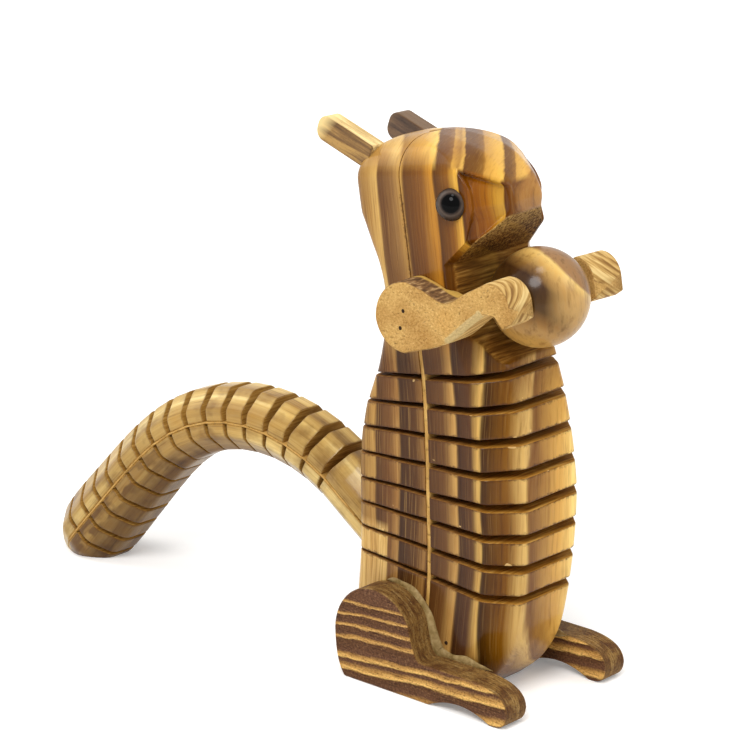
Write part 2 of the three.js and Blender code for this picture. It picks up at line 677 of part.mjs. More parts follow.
// Legs: plates with a round haunch, a long foot and a hollow under it
function legOutline() {
  const haunchEnd = degToRad(LEG_HAUNCH_SWEEP);
  const outline = new THREE.Shape();
  outline.moveTo(LEG_HEEL_BACK, 0);
  outline.quadraticCurveTo(LEG_HAUNCH_BACK + LEG_HAUNCH_RADIUS, LEG_HAUNCH_RADIUS / 4,
    LEG_HAUNCH_BACK + LEG_HAUNCH_RADIUS, LEG_HAUNCH_RADIUS);
  outline.absarc(LEG_HAUNCH_BACK, LEG_HAUNCH_RADIUS, LEG_HAUNCH_RADIUS, 0, haunchEnd, false);
  outline.quadraticCurveTo(-LEG_KNEE_FRONT / 2, LEG_FOOT_HEIGHT, -LEG_KNEE_FRONT, LEG_FOOT_HEIGHT);
  outline.lineTo(-lerp(LEG_KNEE_FRONT, LEG_TOE_REACH, 0.55), LEG_FOOT_HEIGHT);
  outline.quadraticCurveTo(-LEG_TOE_REACH, LEG_FOOT_HEIGHT, -LEG_TOE_REACH, LEG_TOE_ROUND);
  outline.quadraticCurveTo(-LEG_TOE_REACH, 0, -LEG_TOE_REACH + LEG_TOE_ROUND, 0);
  outline.lineTo(-LEG_ARCH_FRONT, 0);
  outline.quadraticCurveTo(-lerp(LEG_ARCH_FRONT, LEG_ARCH_BACK, 0.5), LEG_ARCH_HEIGHT, -LEG_ARCH_BACK, 0);
  outline.closePath();
  return outline;
}

const leg = plate(legOutline(), LEG_THICKNESS).translate(BASE_HALF_WIDTH + GLUE_LINE, 0, 0);
addPiece(squirrel, 'left_leg', leg, legFinish);
addPiece(squirrel, 'right_leg', mirrored(leg), legFinish);

// Ears: short bars with round ends, fitted to the head
function ear(side, height, length, rootHeight) {
  const half = height / 2;
  const round = Math.min(EAR_END_ROUND, half);
  const outline = new THREE.Shape();
  outline.moveTo(-height, -half);
  outline.lineTo(length - round, -half);
  outline.quadraticCurveTo(length, -half, length, round - half);
  outline.lineTo(length, half - round);
  outline.quadraticCurveTo(length, half, length - round, half);
  outline.lineTo(-height, half);
  outline.closePath();
  const bar = plate(outline, EAR_THICKNESS)
    .translate(side * EAR_SPREAD - EAR_THICKNESS / 2, 0, 0)
    .rotateX(degToRad(EAR_RISE))
    .translate(0, EAR_ROOT_BACK, rootHeight);
  return solid(bar).subtract(headGrown);
}

const rightEar = ear(-1, RIGHT_EAR_HEIGHT, RIGHT_EAR_LENGTH, RIGHT_EAR_ROOT_HEIGHT);
const leftEar = ear(1, LEFT_EAR_HEIGHT, LEFT_EAR_LENGTH, LEFT_EAR_ROOT_HEIGHT);
addPiece(headGroup, 'right_ear', rightEar, headFinish);
addPiece(headGroup, 'left_ear', leftEar, headFinish);
addPiece(headGroup, 'right_eye', onSide(eyeGeometry(), -1), finish(EYE_COLOUR, VARNISHED));
addPiece(headGroup, 'left_eye', onSide(eyeGeometry(), 1), finish(EYE_COLOUR, VARNISHED));

export default squirrel;
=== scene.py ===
"""Looks of a jointed wooden squirrel that holds a ball.

Every piece is worked out in the straight blank that it was sawn from and then set on its own link of the bent
body or tail. Blanks are in millimetres, the scene in metres. The squirrel faces -Y, its right side is -X.
"""

import json
import logging
import math
from dataclasses import dataclass, field
from enum import Enum
from typing import Any, Sequence

import bmesh
import bpy
import numpy as np
from mathutils import Matrix

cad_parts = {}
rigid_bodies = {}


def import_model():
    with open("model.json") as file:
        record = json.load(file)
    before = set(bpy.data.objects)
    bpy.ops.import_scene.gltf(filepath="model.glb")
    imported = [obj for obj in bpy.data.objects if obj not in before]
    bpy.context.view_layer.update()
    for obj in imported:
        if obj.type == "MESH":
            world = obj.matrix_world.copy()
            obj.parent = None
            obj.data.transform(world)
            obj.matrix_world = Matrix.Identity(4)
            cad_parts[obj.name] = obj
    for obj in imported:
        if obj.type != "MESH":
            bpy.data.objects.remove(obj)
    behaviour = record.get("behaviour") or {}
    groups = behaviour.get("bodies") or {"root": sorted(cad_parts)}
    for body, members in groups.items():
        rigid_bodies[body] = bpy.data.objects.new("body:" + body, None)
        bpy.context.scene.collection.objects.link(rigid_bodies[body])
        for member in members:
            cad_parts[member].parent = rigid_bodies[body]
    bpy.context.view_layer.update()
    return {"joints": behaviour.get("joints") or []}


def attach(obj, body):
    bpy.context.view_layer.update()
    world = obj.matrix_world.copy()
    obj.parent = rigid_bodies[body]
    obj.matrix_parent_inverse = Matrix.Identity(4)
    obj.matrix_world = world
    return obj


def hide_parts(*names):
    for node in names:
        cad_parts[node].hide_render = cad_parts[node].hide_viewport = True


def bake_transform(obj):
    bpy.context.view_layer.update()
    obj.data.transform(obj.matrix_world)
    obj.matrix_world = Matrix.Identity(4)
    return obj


LOG = logging.getLogger("squirrel")
Array = np.ndarray
Material = bpy.types.Material
Piece = bpy.types.Object
Tree = bpy.types.NodeTree
MM = 0.001
NO_CUT = 999.0  # a height so far off that no saw cut is near


class Side(Enum):
    """The two sides of the squirrel, as the sign of X."""

    RIGHT = -1
    LEFT = 1


class Half(Enum):
    """The two halves of a blank, as the sign of Y from the strip between them."""

    NEAR = -1
    FAR = 1


def smoothstep(low: Any, high: Any, value: Any) -> Array:
    """Smooth step from 0 at low to 1 at high: 3t^2 - 2t^3 of the clamped share t."""
    share = np.clip((np.asarray(value, float) - low) / (np.asarray(high, float) - low), 0.0, 1.0)
    return share * share * (3.0 - 2.0 * share)


def mix(start: Any, end: Any, share: Any) -> Any:
    """Value that lies the given share of the way from start to end."""
    return start + (end - start) * share


def curve(stations: Sequence[tuple[float, float]], at: Array) -> Array:
    """Smooth curve through stations.

    Piecewise cubic: at each station the slope is that of the chord between its two neighbours.

    Args:
        stations: pairs of place and value, in rising order of place.
        at: places to evaluate.

    Returns:
        The curve's values, in the shape of at.
    """
    place, value = np.array(stations, float).T
    slope = np.gradient(value, place)
    slope[1:-1] = (value[2:] - value[:-2]) / (place[2:] - place[:-2])
    at = np.asarray(at, float)
    i = np.clip(np.searchsorted(place, at) - 1, 0, len(place) - 2)
    width = place[i + 1] - place[i]
    t = np.clip((at - place[i]) / width, 0.0, 1.0)
    rise = (2 * t + 1) * (1 - t) ** 2 * value[i] + t * t * (3 - 2 * t) * value[i + 1]
    return rise + width * (t * (1 - t) ** 2 * slope[i] - t * t * (1 - t) * slope[i + 1])


def eased(stations: Sequence[tuple[float, float]], at: Array, ease: float) -> Array:
    """Straight runs between stations, with each corner eased: the mean of the runs over a window.

    Args:
        stations: pairs of place and value, in rising order of place.
        at: places to evaluate.
        ease: half width of the window.

    Returns:
        The eased values, in the shape of at.
    """
    place, value = np.array(stations, float).T
    shifts = np.linspace(-ease, ease, 9)
    return np.mean([np.interp(np.asarray(at) + shift, place, value) for shift in shifts], axis=0)


def rounded_outline(corners: Array, rounding: Array, arc: int, edge: int, flat: Any = 0.0) -> Array:
    """Closed outlines with rounded corners, for many levels at once.

    Each corner is a quadratic curve that starts and ends the given length from it, or a straight cut, and
    each edge between two corners is straight, with evenly spaced points.

    Args:
        corners: (levels, corners, 2) polygon corners, counter-clockwise.
        rounding: (levels, corners) lengths taken from both edges at each corner.
        arc: points on each corner.
        edge: points inside each edge.
        flat: how far each corner is from a round (0) to a straight cut (1).

    Returns:
        (levels, corners * (arc + edge), 2) points.
    """
    before, after = np.roll(corners, 1, axis=1), np.roll(corners, -1, axis=1)
    back = np.linalg.norm(before - corners, axis=2)
    ahead = np.linalg.norm(after - corners, axis=2)
    start = corners + (before - corners) * np.minimum(0.48, rounding / np.maximum(back, 1e-9))[..., None]
    end = corners + (after - corners) * np.minimum(0.48, rounding / np.maximum(ahead, 1e-9))[..., None]
    t = np.linspace(0.0, 1.0, arc)[:, None]
    pull = mix(corners, 0.5 * (start + end), flat)
    curves = (1 - t) ** 2 * start[:, :, None] + 2 * t * (1 - t) * pull[:, :, None] + t * t * end[:, :, None]
    u = np.linspace(0.0, 1.0, edge + 2)[1:-1, None]
    runs = mix(end[:, :, None], np.roll(start, -1, axis=1)[:, :, None], u)
    return np.concatenate([curves, runs], axis=2).reshape(len(corners), -1, 2)


def polygons(*corners: tuple[Array, Array]) -> Array:
    """(levels, corners, 2) polygons from the two coordinates of each corner at every level."""
    return np.stack([np.stack(corner, -1) for corner in corners], axis=1)


def raised(outline: Array, place: Array) -> Array:
    """(levels, points, 3) points of outlines, with the place of each level as the third coordinate."""
    return np.concatenate([outline, np.broadcast_to(place[:, None, None], (*outline.shape[:2], 1))], -1)


def turned(points: Array, lean: float) -> Array:
    """Points turned about X by an angle in radians: Y and Z as a complex number times its turn."""
    x, along = points[..., 0], (points[..., 1] + 1j * points[..., 2]) * np.exp(1j * lean)
    return np.stack([x, along.real, along.imag], axis=-1)


@dataclass
class Skin:
    """A closed surface: rings of points from one end to the other, with a pole over each end.

    Attributes:
        points: (rings, count, 3) places in the blank, in millimetres.
        sawn: (rings, count) 1 on bare saw cuts and 0 on the finished outside.
        rim: (rings, count) 1 along a sawn edge, fading to 0 away from it.
        bare: (rings, count) 1 where a finished face was pared or sawn away again.
    """

    points: Array
    sawn: Array | None = None
    rim: Array | None = None
    bare: Array | None = None

    def marks(self) -> dict[str, Array]:
        """The marks of every point by name, 0 where none were given.

        Returns:
            (rings, count) values by name.
        """
        given = {"sawn": self.sawn, "rim": self.rim, "bare": self.bare}
        none = np.zeros(self.points.shape[:2])
        return {name: none if value is None else value for name, value in given.items()}

    def turned_over(self) -> "Skin":
        """The same skin with its rings run the other way, which turns its faces over."""
        return Skin(self.points[:, ::-1], *(value[:, ::-1] for value in self.marks().values()))

    def with_poles(self, values: Array) -> Array:
        """Flat list of ring values with the mean of the first and of the last ring added at the end."""
        flat = values.reshape(-1, *values.shape[2:])
        return np.concatenate([flat, values[:1].mean(axis=1), values[-1:].mean(axis=1)])


@dataclass(frozen=True)
class Link:
    """One rigid link of the body or the tail.

    Attributes:
        body: the moving body that the link's pieces ride on.
        hinge: where the link's own zero stands, in metres.
        lean: turn of the link about X at rest, in radians.
        start: place of the link's zero along the straight blank, in millimetres.
    """

    body: str
    hinge: Array
    lean: float
    start: float

    def place(self, blank: Array) -> Array:
        """Scene points of blank points: lowered to the link's zero, turned about X and moved to the hinge."""
        return self.hinge + MM * turned(blank - np.array([0.0, 0.0, self.start]), self.lean)


def links_along(joints: Sequence[dict], name: str, pitch: float) -> list[Link]:
    """Links of a chain of hinges, from the piece that carries it to its last piece.

    A link leans along the line from its hinge to the next one. The first and the last go on
    from their neighbours.

    Args:
        joints: the frame's joints.
        name: what the names of the chain's hinges start with.
        pitch: distance between two hinges along the blank.

    Returns:
        One link more than there are hinges.
    """
    chain = [joint for joint in joints if joint["name"].startswith(name)]
    hinges = np.array([joint["pos_m"] for joint in chain])
    step = np.diff(hinges, axis=0)
    lean = np.arctan2(-step[:, 1], step[:, 2])
    leans = np.concatenate([[2 * lean[0] - lean[1]], lean, [2 * lean[-1] - lean[-2]]])
    bodies = [chain[0]["parent"]] + [joint["child"] for joint in chain]
    rows = [0] + list(range(len(chain)))
    return [Link(body, hinges[row], turn, row * pitch) for body, row, turn in zip(bodies, rows, leans)]


def make_piece(name: str, skin: Skin, scene_points: Array, finish: Material) -> Piece:
    """Object of one closed skin.

    Quads join each ring to the next and triangles close both ends on their poles. The blank's coordinates
    go along as the attribute grain, so that a wood's figure runs on across the saw cuts.

    Args:
        name: the object's name.
        skin: the surface in its blank.
        scene_points: (rings, count, 3) the same points in the scene, in metres.
        finish: the material.

    Returns:
        The new object, at the origin with its place in its mesh.
    """
    rings, count = scene_points.shape[:2]
    i = np.arange(count)
    j = np.roll(i, -1)
    row = np.arange(rings - 1)[:, None] * count
    quads = np.stack([row + i, row + j, row + count + j, row + count + i], axis=-1).reshape(-1, 4)
    last = (rings - 1) * count
    low_pole, high_pole = rings * count, rings * count + 1
    fans = np.concatenate([
        np.stack([np.full(count, low_pole), j, i], axis=-1),
        np.stack([np.full(count, high_pole), last + i, last + j], axis=-1),
    ])
    mesh = bpy.data.meshes.new(name)
    points = skin.with_poles(scene_points)
    mesh.vertices.add(len(points))
    mesh.vertices.foreach_set("co", points.astype(np.float32).ravel())
    corners = np.concatenate([quads.ravel(), fans.ravel()])
    mesh.loops.add(len(corners))
    mesh.loops.foreach_set("vertex_index", corners.astype(np.int32))
    starts = np.concatenate([np.arange(len(quads)) * 4, quads.size + np.arange(len(fans)) * 3])
    mesh.polygons.add(len(starts))
    mesh.polygons.foreach_set("loop_start", starts.astype(np.int32))
    mesh.update(calc_edges=True)
    mesh.polygons.foreach_set("use_smooth", np.ones(len(starts), bool))
    grain = mesh.attributes.new("grain", "FLOAT_VECTOR", "POINT")
    grain.data.foreach_set("vector", skin.with_poles(skin.points).astype(np.float32).ravel())
    for label, values in skin.marks().items():
        attribute = mesh.attributes.new(label, "FLOAT", "POINT")
        attribute.data.foreach_set("value", skin.with_poles(values).astype(np.float32))
    mesh.materials.append(finish)
    piece = bpy.data.objects.new(name, mesh)
    bpy.context.scene.collection.objects.link(piece)
    LOG.info("%s: %d faces", name, len(starts))
    return piece


def stand_for(piece: Piece, body: str, slot: str, *nodes: str) -> None:
    """Rides a piece on a body and hides the nodes that it stands for.

    Args:
        piece: the piece.
        body: the body's name.
        slot: not used.
        nodes: the solids that it replaces.
    """
    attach(piece, body)
    if nodes:
        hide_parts(*nodes)


@dataclass(frozen=True)
class Easing:
    """How the ends of a sawn piece are finished.

    Attributes:
        low: radius of the edge at the start, 0 for a plain end.
        high: radius of the edge at the end, 0 for a plain end.
        face_rings: rings that cover an end face out to its edge.
        bend_rings: rings that turn over an eased edge.
    """

    low: float = 0.16
    high: float = 0.28
    face_rings: int = 3
    bend_rings: int = 4

    def levels(self, start: float, end: float, steps: int) -> tuple[Array, Array, Array]:
        """Levels from one end face to the other.

        On a face the outline is scaled up from its middle, over an edge it follows a quarter circle, and
        along the side it is whole.

        Args:
            start: place of the first face.
            end: place of the last face.
            steps: rings along the side.

        Returns:
            Places, inset of the outline in millimetres, and scale of the outline, one for each level.
        """
        turn = np.linspace(0.0, math.pi / 2, self.bend_rings)
        share = np.linspace(0.25, 0.97, self.face_rings)
        side = np.linspace(start + self.low, end - self.high, steps + 2)[1:-1]
        place = np.concatenate([
            np.full(self.face_rings, start), start + self.low * (1 - np.cos(turn)), side,
            (end - self.high * (1 - np.cos(turn)))[::-1], np.full(self.face_rings, end),
        ])
        inset = np.concatenate([
            np.full(self.face_rings, self.low), self.low * (1 - np.sin(turn)), np.zeros(steps),
            (self.high * (1 - np.sin(turn)))[::-1], np.full(self.face_rings, self.high),
        ])
        whole = np.ones(steps + 2 * self.bend_rings)
        return place, inset, np.concatenate([share, whole, share[::-1]])


def drawn_in(outline: Array, inset: Array, scale: Array) -> Array:
    """Outlines moved in towards their own middles, at each level by a length and then by a scale.

    Args:
        outline: (levels, points, 2) outlines.
        inset: length for each level.
        scale: scale for each level.

    Returns:
        Outlines of the same shape.
    """
    middle = 0.5 * (outline.max(axis=1, keepdims=True) + outline.min(axis=1, keepdims=True))
    spoke = outline - middle
    reach = np.maximum(np.linalg.norm(spoke, axis=2, keepdims=True), 1e-6)
    return middle + spoke * np.maximum(1 - inset[:, None, None] / reach, 0.02) * scale[:, None, None]


def saw_wander(x: Array, y: Array, cut: int, amount: float) -> Array:
    """How far a hand-held saw strays from flat: two slow waves whose phases change from cut to cut."""
    waves = np.sin(0.21 * x + 1.7 * cut) + 0.7 * np.sin(0.37 * y + 2.9 * cut)
    return amount * (waves - 0.4 * math.sin(2.3 * cut))


@dataclass
class BodyBlank:
    """The blank that the base, the rings and the head are sawn from, in millimetres.

    Heights run along the strip from the lowest saw cut. Depths are measured from the strip, front and back.
    """

    rings: int = 7
    pitch: float = 6.0
    kerf: float = 1.1
    strip_half: float = 0.5
    strip_shown: float = 0.94
    seam_half: float = 0.09
    base_height: float = 24.5
    sole_depth: float = 3.0
    base_strip_depth: float = 14.0
    head_strip_depth: float = 15.0
    base_half: float = 12.6
    belly_half: float = 13.9
    head_half: float = 13.3
    sole_front: float = 7.0
    base_front: float = 19.8
    belly_front: float = 20.9
    chest_front: float = 17.5
    throat_front: float = 10.2
    base_back: float = 19.9
    waist_back: float = 18.9
    shoulder_back: float = 13.8
    neck_back: float = 8.8
    head_back: float = 12.5
    front_flat: float = 8.0
    front_chamfer: float = 5.9
    throat_flat: float = 11.1
    throat_chamfer: float = 1.2
    nose_flat: float = 5.0
    nose_chamfer: float = 5.6
    brow_chamfer: float = 4.8
    crown_flat: float = 3.0
    crown_back: float = 1.8
    corner_round: float = 3.0
    lip_height: float = 1.9
    throat_low: float = 9.6
    throat_high: float = 22.4
    brow_height: float = 39.4
    crown_height: float = 47.3
    brow_at_cheek: float = 41.2
    brow_at_nose: float = 36.4
    brow_lip: float = 0.45
    scoop: float = 1.5
    face_skew: float = 0.13
    brow_skew: float = 0.2
    wander: float = 0.07
    snout: tuple[tuple[float, float], ...] = (
        (31.2, 20.8), (33.6, 21.3), (36.8, 20.4), (39.4, 18.5), (41.4, 16.5), (43.5, 13.7), (45.2, 9.6),
        (46.4, 5.4), (47.3, 1.2),
    )

    @property
    def stack(self) -> float:
        """Height of the top saw cut, where the head begins."""
        return self.rings * self.pitch

    def crown_share(self, height: Array) -> Array:
        """How far a height is up the crown, from 0 at the brow to 1 at the top."""
        rise = height - self.stack - self.brow_height
        return np.clip(rise / (self.crown_height - self.brow_height), 0.0, 1.0)

    def half_width(self, height: Array) -> Array:
        """Half width by height. The crown closes as a quarter ellipse.

        Args:
            height: heights in the blank.

        Returns:
            Half widths.
        """
        stack = self.stack
        side = curve([
            (-self.base_height - self.sole_depth, self.base_half), (-0.2 * self.base_height, self.base_half),
            (0.38 * stack, self.belly_half), (0.62 * stack, self.belly_half),
            (0.83 * stack, mix(self.belly_half, self.head_half, 0.5)), (stack, self.head_half),
            (stack + self.crown_height, self.head_half),
        ], height)
        round_off = np.sqrt(1 - self.crown_share(height) ** 2)
        return mix(self.crown_flat, side, round_off)

    def front(self, height: Array) -> Array:
        """Depth in front of the strip: curved trunk, straight cuts round the throat and curved snout.

        Args:
            height: heights in the blank.

        Returns:
            Depths.
        """
        stack, low = self.stack, self.base_height
        sole, base = self.sole_front, self.base_front
        belly, chest = self.belly_front, self.chest_front
        trunk = curve([
            (-low - self.sole_depth, sole), (-low, mix(sole, base, 0.2)),
            (-0.77 * low, mix(sole, base, 0.62)), (-0.5 * low, mix(sole, base, 0.89)), (-0.2 * low, base),
            (0.38 * stack, belly), (0.62 * stack, mix(belly, chest, 0.22)),
            (0.83 * stack, mix(belly, chest, 0.6)), (stack, chest),
        ], height)
        head = height - stack
        face = eased([
            (-2.0, chest + 0.4), (0.0, chest), (self.lip_height, chest - 0.4),
            (self.throat_low, self.throat_front), (self.throat_high, self.throat_front), *self.snout[:2],
        ], head, ease=0.35)
        crown = curve(self.snout, head)
        return np.where(head < 0, trunk, np.where(head < self.jaw_high + 0.4, face, crown))

    def back(self, height: Array) -> Array:
        """Depth behind the strip by height.

        Args:
            height: heights in the blank.

        Returns:
            Depths.
        """
        stack = self.stack
        shoulder, neck, head = self.shoulder_back, self.neck_back, self.head_back
        spine = curve([
            (-self.base_height - self.sole_depth, self.base_back), (-0.2 * self.base_height, self.base_back),
            (0.38 * stack, mix(self.base_back, self.waist_back, 0.5)), (0.62 * stack, self.waist_back),
            (0.83 * stack, mix(self.waist_back, shoulder, 0.38)), (stack, shoulder),
            (stack + 1.8, mix(shoulder, neck, 0.18)), (stack + 5.7, mix(shoulder, neck, 0.5)),
            (stack + 9.6, mix(shoulder, neck, 0.76)), (stack + 17.4, neck),
            (stack + 22.6, mix(neck, head, 0.15)), (stack + 26.9, mix(neck, head, 0.5)),
            (stack + 31.2, mix(neck, head, 0.84)), (stack + 33.4, head), (stack + self.crown_height, head),
        ], height)
        round_off = np.sqrt(1 - self.crown_share(height) ** 2)
        return mix(self.crown_flat + self.crown_back, spine, round_off)

    @property
    def jaw_high(self) -> float:
        """Height over the top saw cut where the jaw ends and the nose begins."""
        return self.snout[0][0]

    def skew(self, height: Array) -> Array:
        """How much further back the front lies for each step to the left: the face is sawn a little askew.

        Args:
            height: heights in the blank.

        Returns:
            Slopes.
        """
        places = (self.throat_high, self.jaw_high, self.jaw_high + 3.0, self.brow_height)
        skew = np.interp(height - self.stack, places, (0.0, self.face_skew, self.face_skew, self.brow_skew))
        return skew * (1 - self.crown_share(height) ** 2)

    def front_corner(self, height: Array) -> tuple[Array, Array]:
        """Half width of the front flat and depth of the bevels beside it, by height.

        Args:
            height: heights in the blank.

        Returns:
            Half widths and depths.
        """
        head = height - self.stack
        clip, narrowing = mix(self.throat_flat, self.nose_flat, 0.05), self.throat_high + 4.6
        flat = eased([
            (0.0, self.front_flat), (self.lip_height, self.front_flat), (self.throat_low, self.throat_flat),
            (self.throat_high, self.throat_flat), (narrowing, clip), (self.jaw_high, self.nose_flat),
            (self.brow_height, self.nose_flat),
        ], head, 0.5)
        bevel = eased([
            (0.0, self.front_chamfer), (self.lip_height, self.front_chamfer),
            (self.throat_low, self.throat_chamfer), (self.throat_high, self.throat_chamfer),
            (narrowing, self.throat_chamfer), (self.jaw_high, self.nose_chamfer),
            (self.brow_height, self.brow_chamfer),
        ], head, 0.5)
        share = self.crown_share(height) ** 2
        end = self.crown_flat / 2
        return mix(end, flat, np.sqrt(1 - share)), mix(end, bevel, 1 - share)

    def side_at(self, y: Array, height: Array) -> Array:
        """Half width of the blank at a depth and a height, for what is fitted against its side.

        Args:
            y: depths, negative in front.
            height: heights in the blank.

        Returns:
            Half widths.
        """
        half, front = self.half_width(height), self.front(height)
        flat, bevel = self.front_corner(height)
        share = np.clip((-y - (front - bevel)) / bevel, 0.0, 1.0)
        inside = (-y < front) & (y < self.back(height))
        return np.where(inside, mix(half, flat, share), 0.0)

    def outline(self, half: Half, height: Array, cut: Array) -> Array:
        """Outlines of one half of the blank, cut flat beside the strip.

        The back half is a rectangle with two round corners. The front half has a flat front with a bevel on
        each side, and on the head the bevels are hollowed under the brow.

        Args:
            half: NEAR is the front half, FAR the back half.
            height: (levels,) heights.
            cut: (levels,) distance of the cut face from the middle of the strip.

        Returns:
            (levels, points, 2) outlines, counter-clockwise from above.
        """
        w, edge = self.half_width(height), np.full(len(height), 0.15)
        if half is Half.FAR:
            b = self.back(height)
            soft = np.minimum(self.corner_round, w / 2)
            corners = polygons((w, cut), (w, b), (-w, b), (-w, cut))
            return rounded_outline(corners, np.stack([edge, soft, soft, edge], -1), arc=9, edge=12)
        f, skew = self.front(height), self.skew(height)
        flat, bevel = self.front_corner(height)
        corners = polygons((-w, -cut), (-w, bevel - f - skew * w), (-flat, -f - skew * flat),
                           (flat, skew * flat - f), (w, bevel - f + skew * w), (w, -cut))
        soft = np.clip(0.22 * bevel, 0.25, 1.2)
        rounding = np.stack([edge, soft, soft, soft, soft, edge], -1)
        front = rounded_outline(corners, rounding, arc=7, edge=20)
        return front + self.hollow(front[..., 0], height, w, flat, bevel)

    def hollow(self, x: Array, height: Array, w: Array, flat: Array, bevel: Array) -> Array:
        """How far the bevels beside the nose are hollowed, square to each bevel and sharp under the brow.

        Args:
            x: (levels, points) places across.
            height: (levels,) heights.
            w: (levels,) half widths.
            flat: (levels,) half widths of the front flat.
            bevel: (levels,) depths of the bevels.

        Returns:
            (levels, points, 2) moves.
        """
        run = np.maximum(w - flat, 0.1)
        across = (w[:, None] - np.abs(x)) / run[:, None]
        head = (height - self.stack)[:, None]
        brow = mix(self.brow_at_cheek, self.brow_at_nose, np.clip(across, 0.0, 1.0))
        inside = smoothstep(0.0, 0.14, across) * (1 - smoothstep(0.84, 0.98, across))
        under = 1 - smoothstep(brow - self.brow_lip, brow, head)
        under = under * smoothstep(self.throat_high + 2, self.jaw_high, head)
        deep = self.scoop * inside * under / np.hypot(bevel, run)[:, None]
        return np.stack([-np.sign(x) * deep * bevel[:, None], deep * run[:, None]], -1)

    def sawn(self, half: Half, start: float, end: float, steps: int, low_cut: int, high_cut: int) -> Skin:
        """One half of a link, between two saw cuts across the blank.

        Args:
            half: which side of the strip.
            start: height of the lower saw cut's upper face.
            end: height of the upper saw cut's lower face.
            steps: rings along the side.
            low_cut: number of the lower saw cut, -1 for none.
            high_cut: number of the upper saw cut, -1 for none.

        Returns:
            The closed skin in the blank.
        """
        height, inset, scale = Easing().levels(start, end, steps)
        cut = np.full(len(height), self.strip_half)
        outline = drawn_in(self.outline(half, height, cut), inset, scale)
        x, y = outline[..., 0], outline[..., 1]
        z = np.broadcast_to(height[:, None], x.shape).copy()
        share = np.clip((z - start) / (end - start), 0.0, 1.0)
        for cut_number, weight in ((low_cut, (1 - share) ** 2), (high_cut, share ** 2)):
            if cut_number >= 0:
                z += weight * saw_wander(x, y, cut_number, self.wander)
        return self.with_marks(np.stack([x, y, z], -1), inset, scale, cut, height - start, end - height)

    def with_marks(self, points: Array, inset: Array, scale: Array, cut: Array, from_low: Array,
                   from_high: Array) -> Skin:
        """Skin whose end faces and strip face are marked as sawn, and whose edges are marked as rims.

        Args:
            points: (levels, points, 3) places in the blank.
            inset: (levels,) how far the outline is drawn in.
            scale: (levels,) scale of the outline.
            cut: (levels,) distance of the cut face from the middle of the strip.
            from_low: (levels,) height over the lower saw cut.
            from_high: (levels,) height left to the upper saw cut.

        Returns:
            The marked skin.
        """
        face = ((inset > 0.1) | (scale < 1)).astype(float)[:, None]
        beside = np.abs(points[..., 1]) - cut[:, None]
        near_edge = np.minimum(np.abs(from_low), np.abs(from_high))[:, None]
        below = 1 - smoothstep(self.brow_height - 4, self.brow_height, points[..., 2] - self.stack)
        # Painted shade: the seam crack where the halves meet beyond the strip is marked as a rim, so that a
        # dark line is drawn in the narrow gap where shade falls.
        painted_crack_shade = np.exp(-beside / 0.22) * (cut < self.strip_half - 0.02)[:, None] * below
        rim = np.maximum(np.exp(-near_edge / 0.42), painted_crack_shade)
        return Skin(points, np.maximum(face, beside < 0.02), rim)


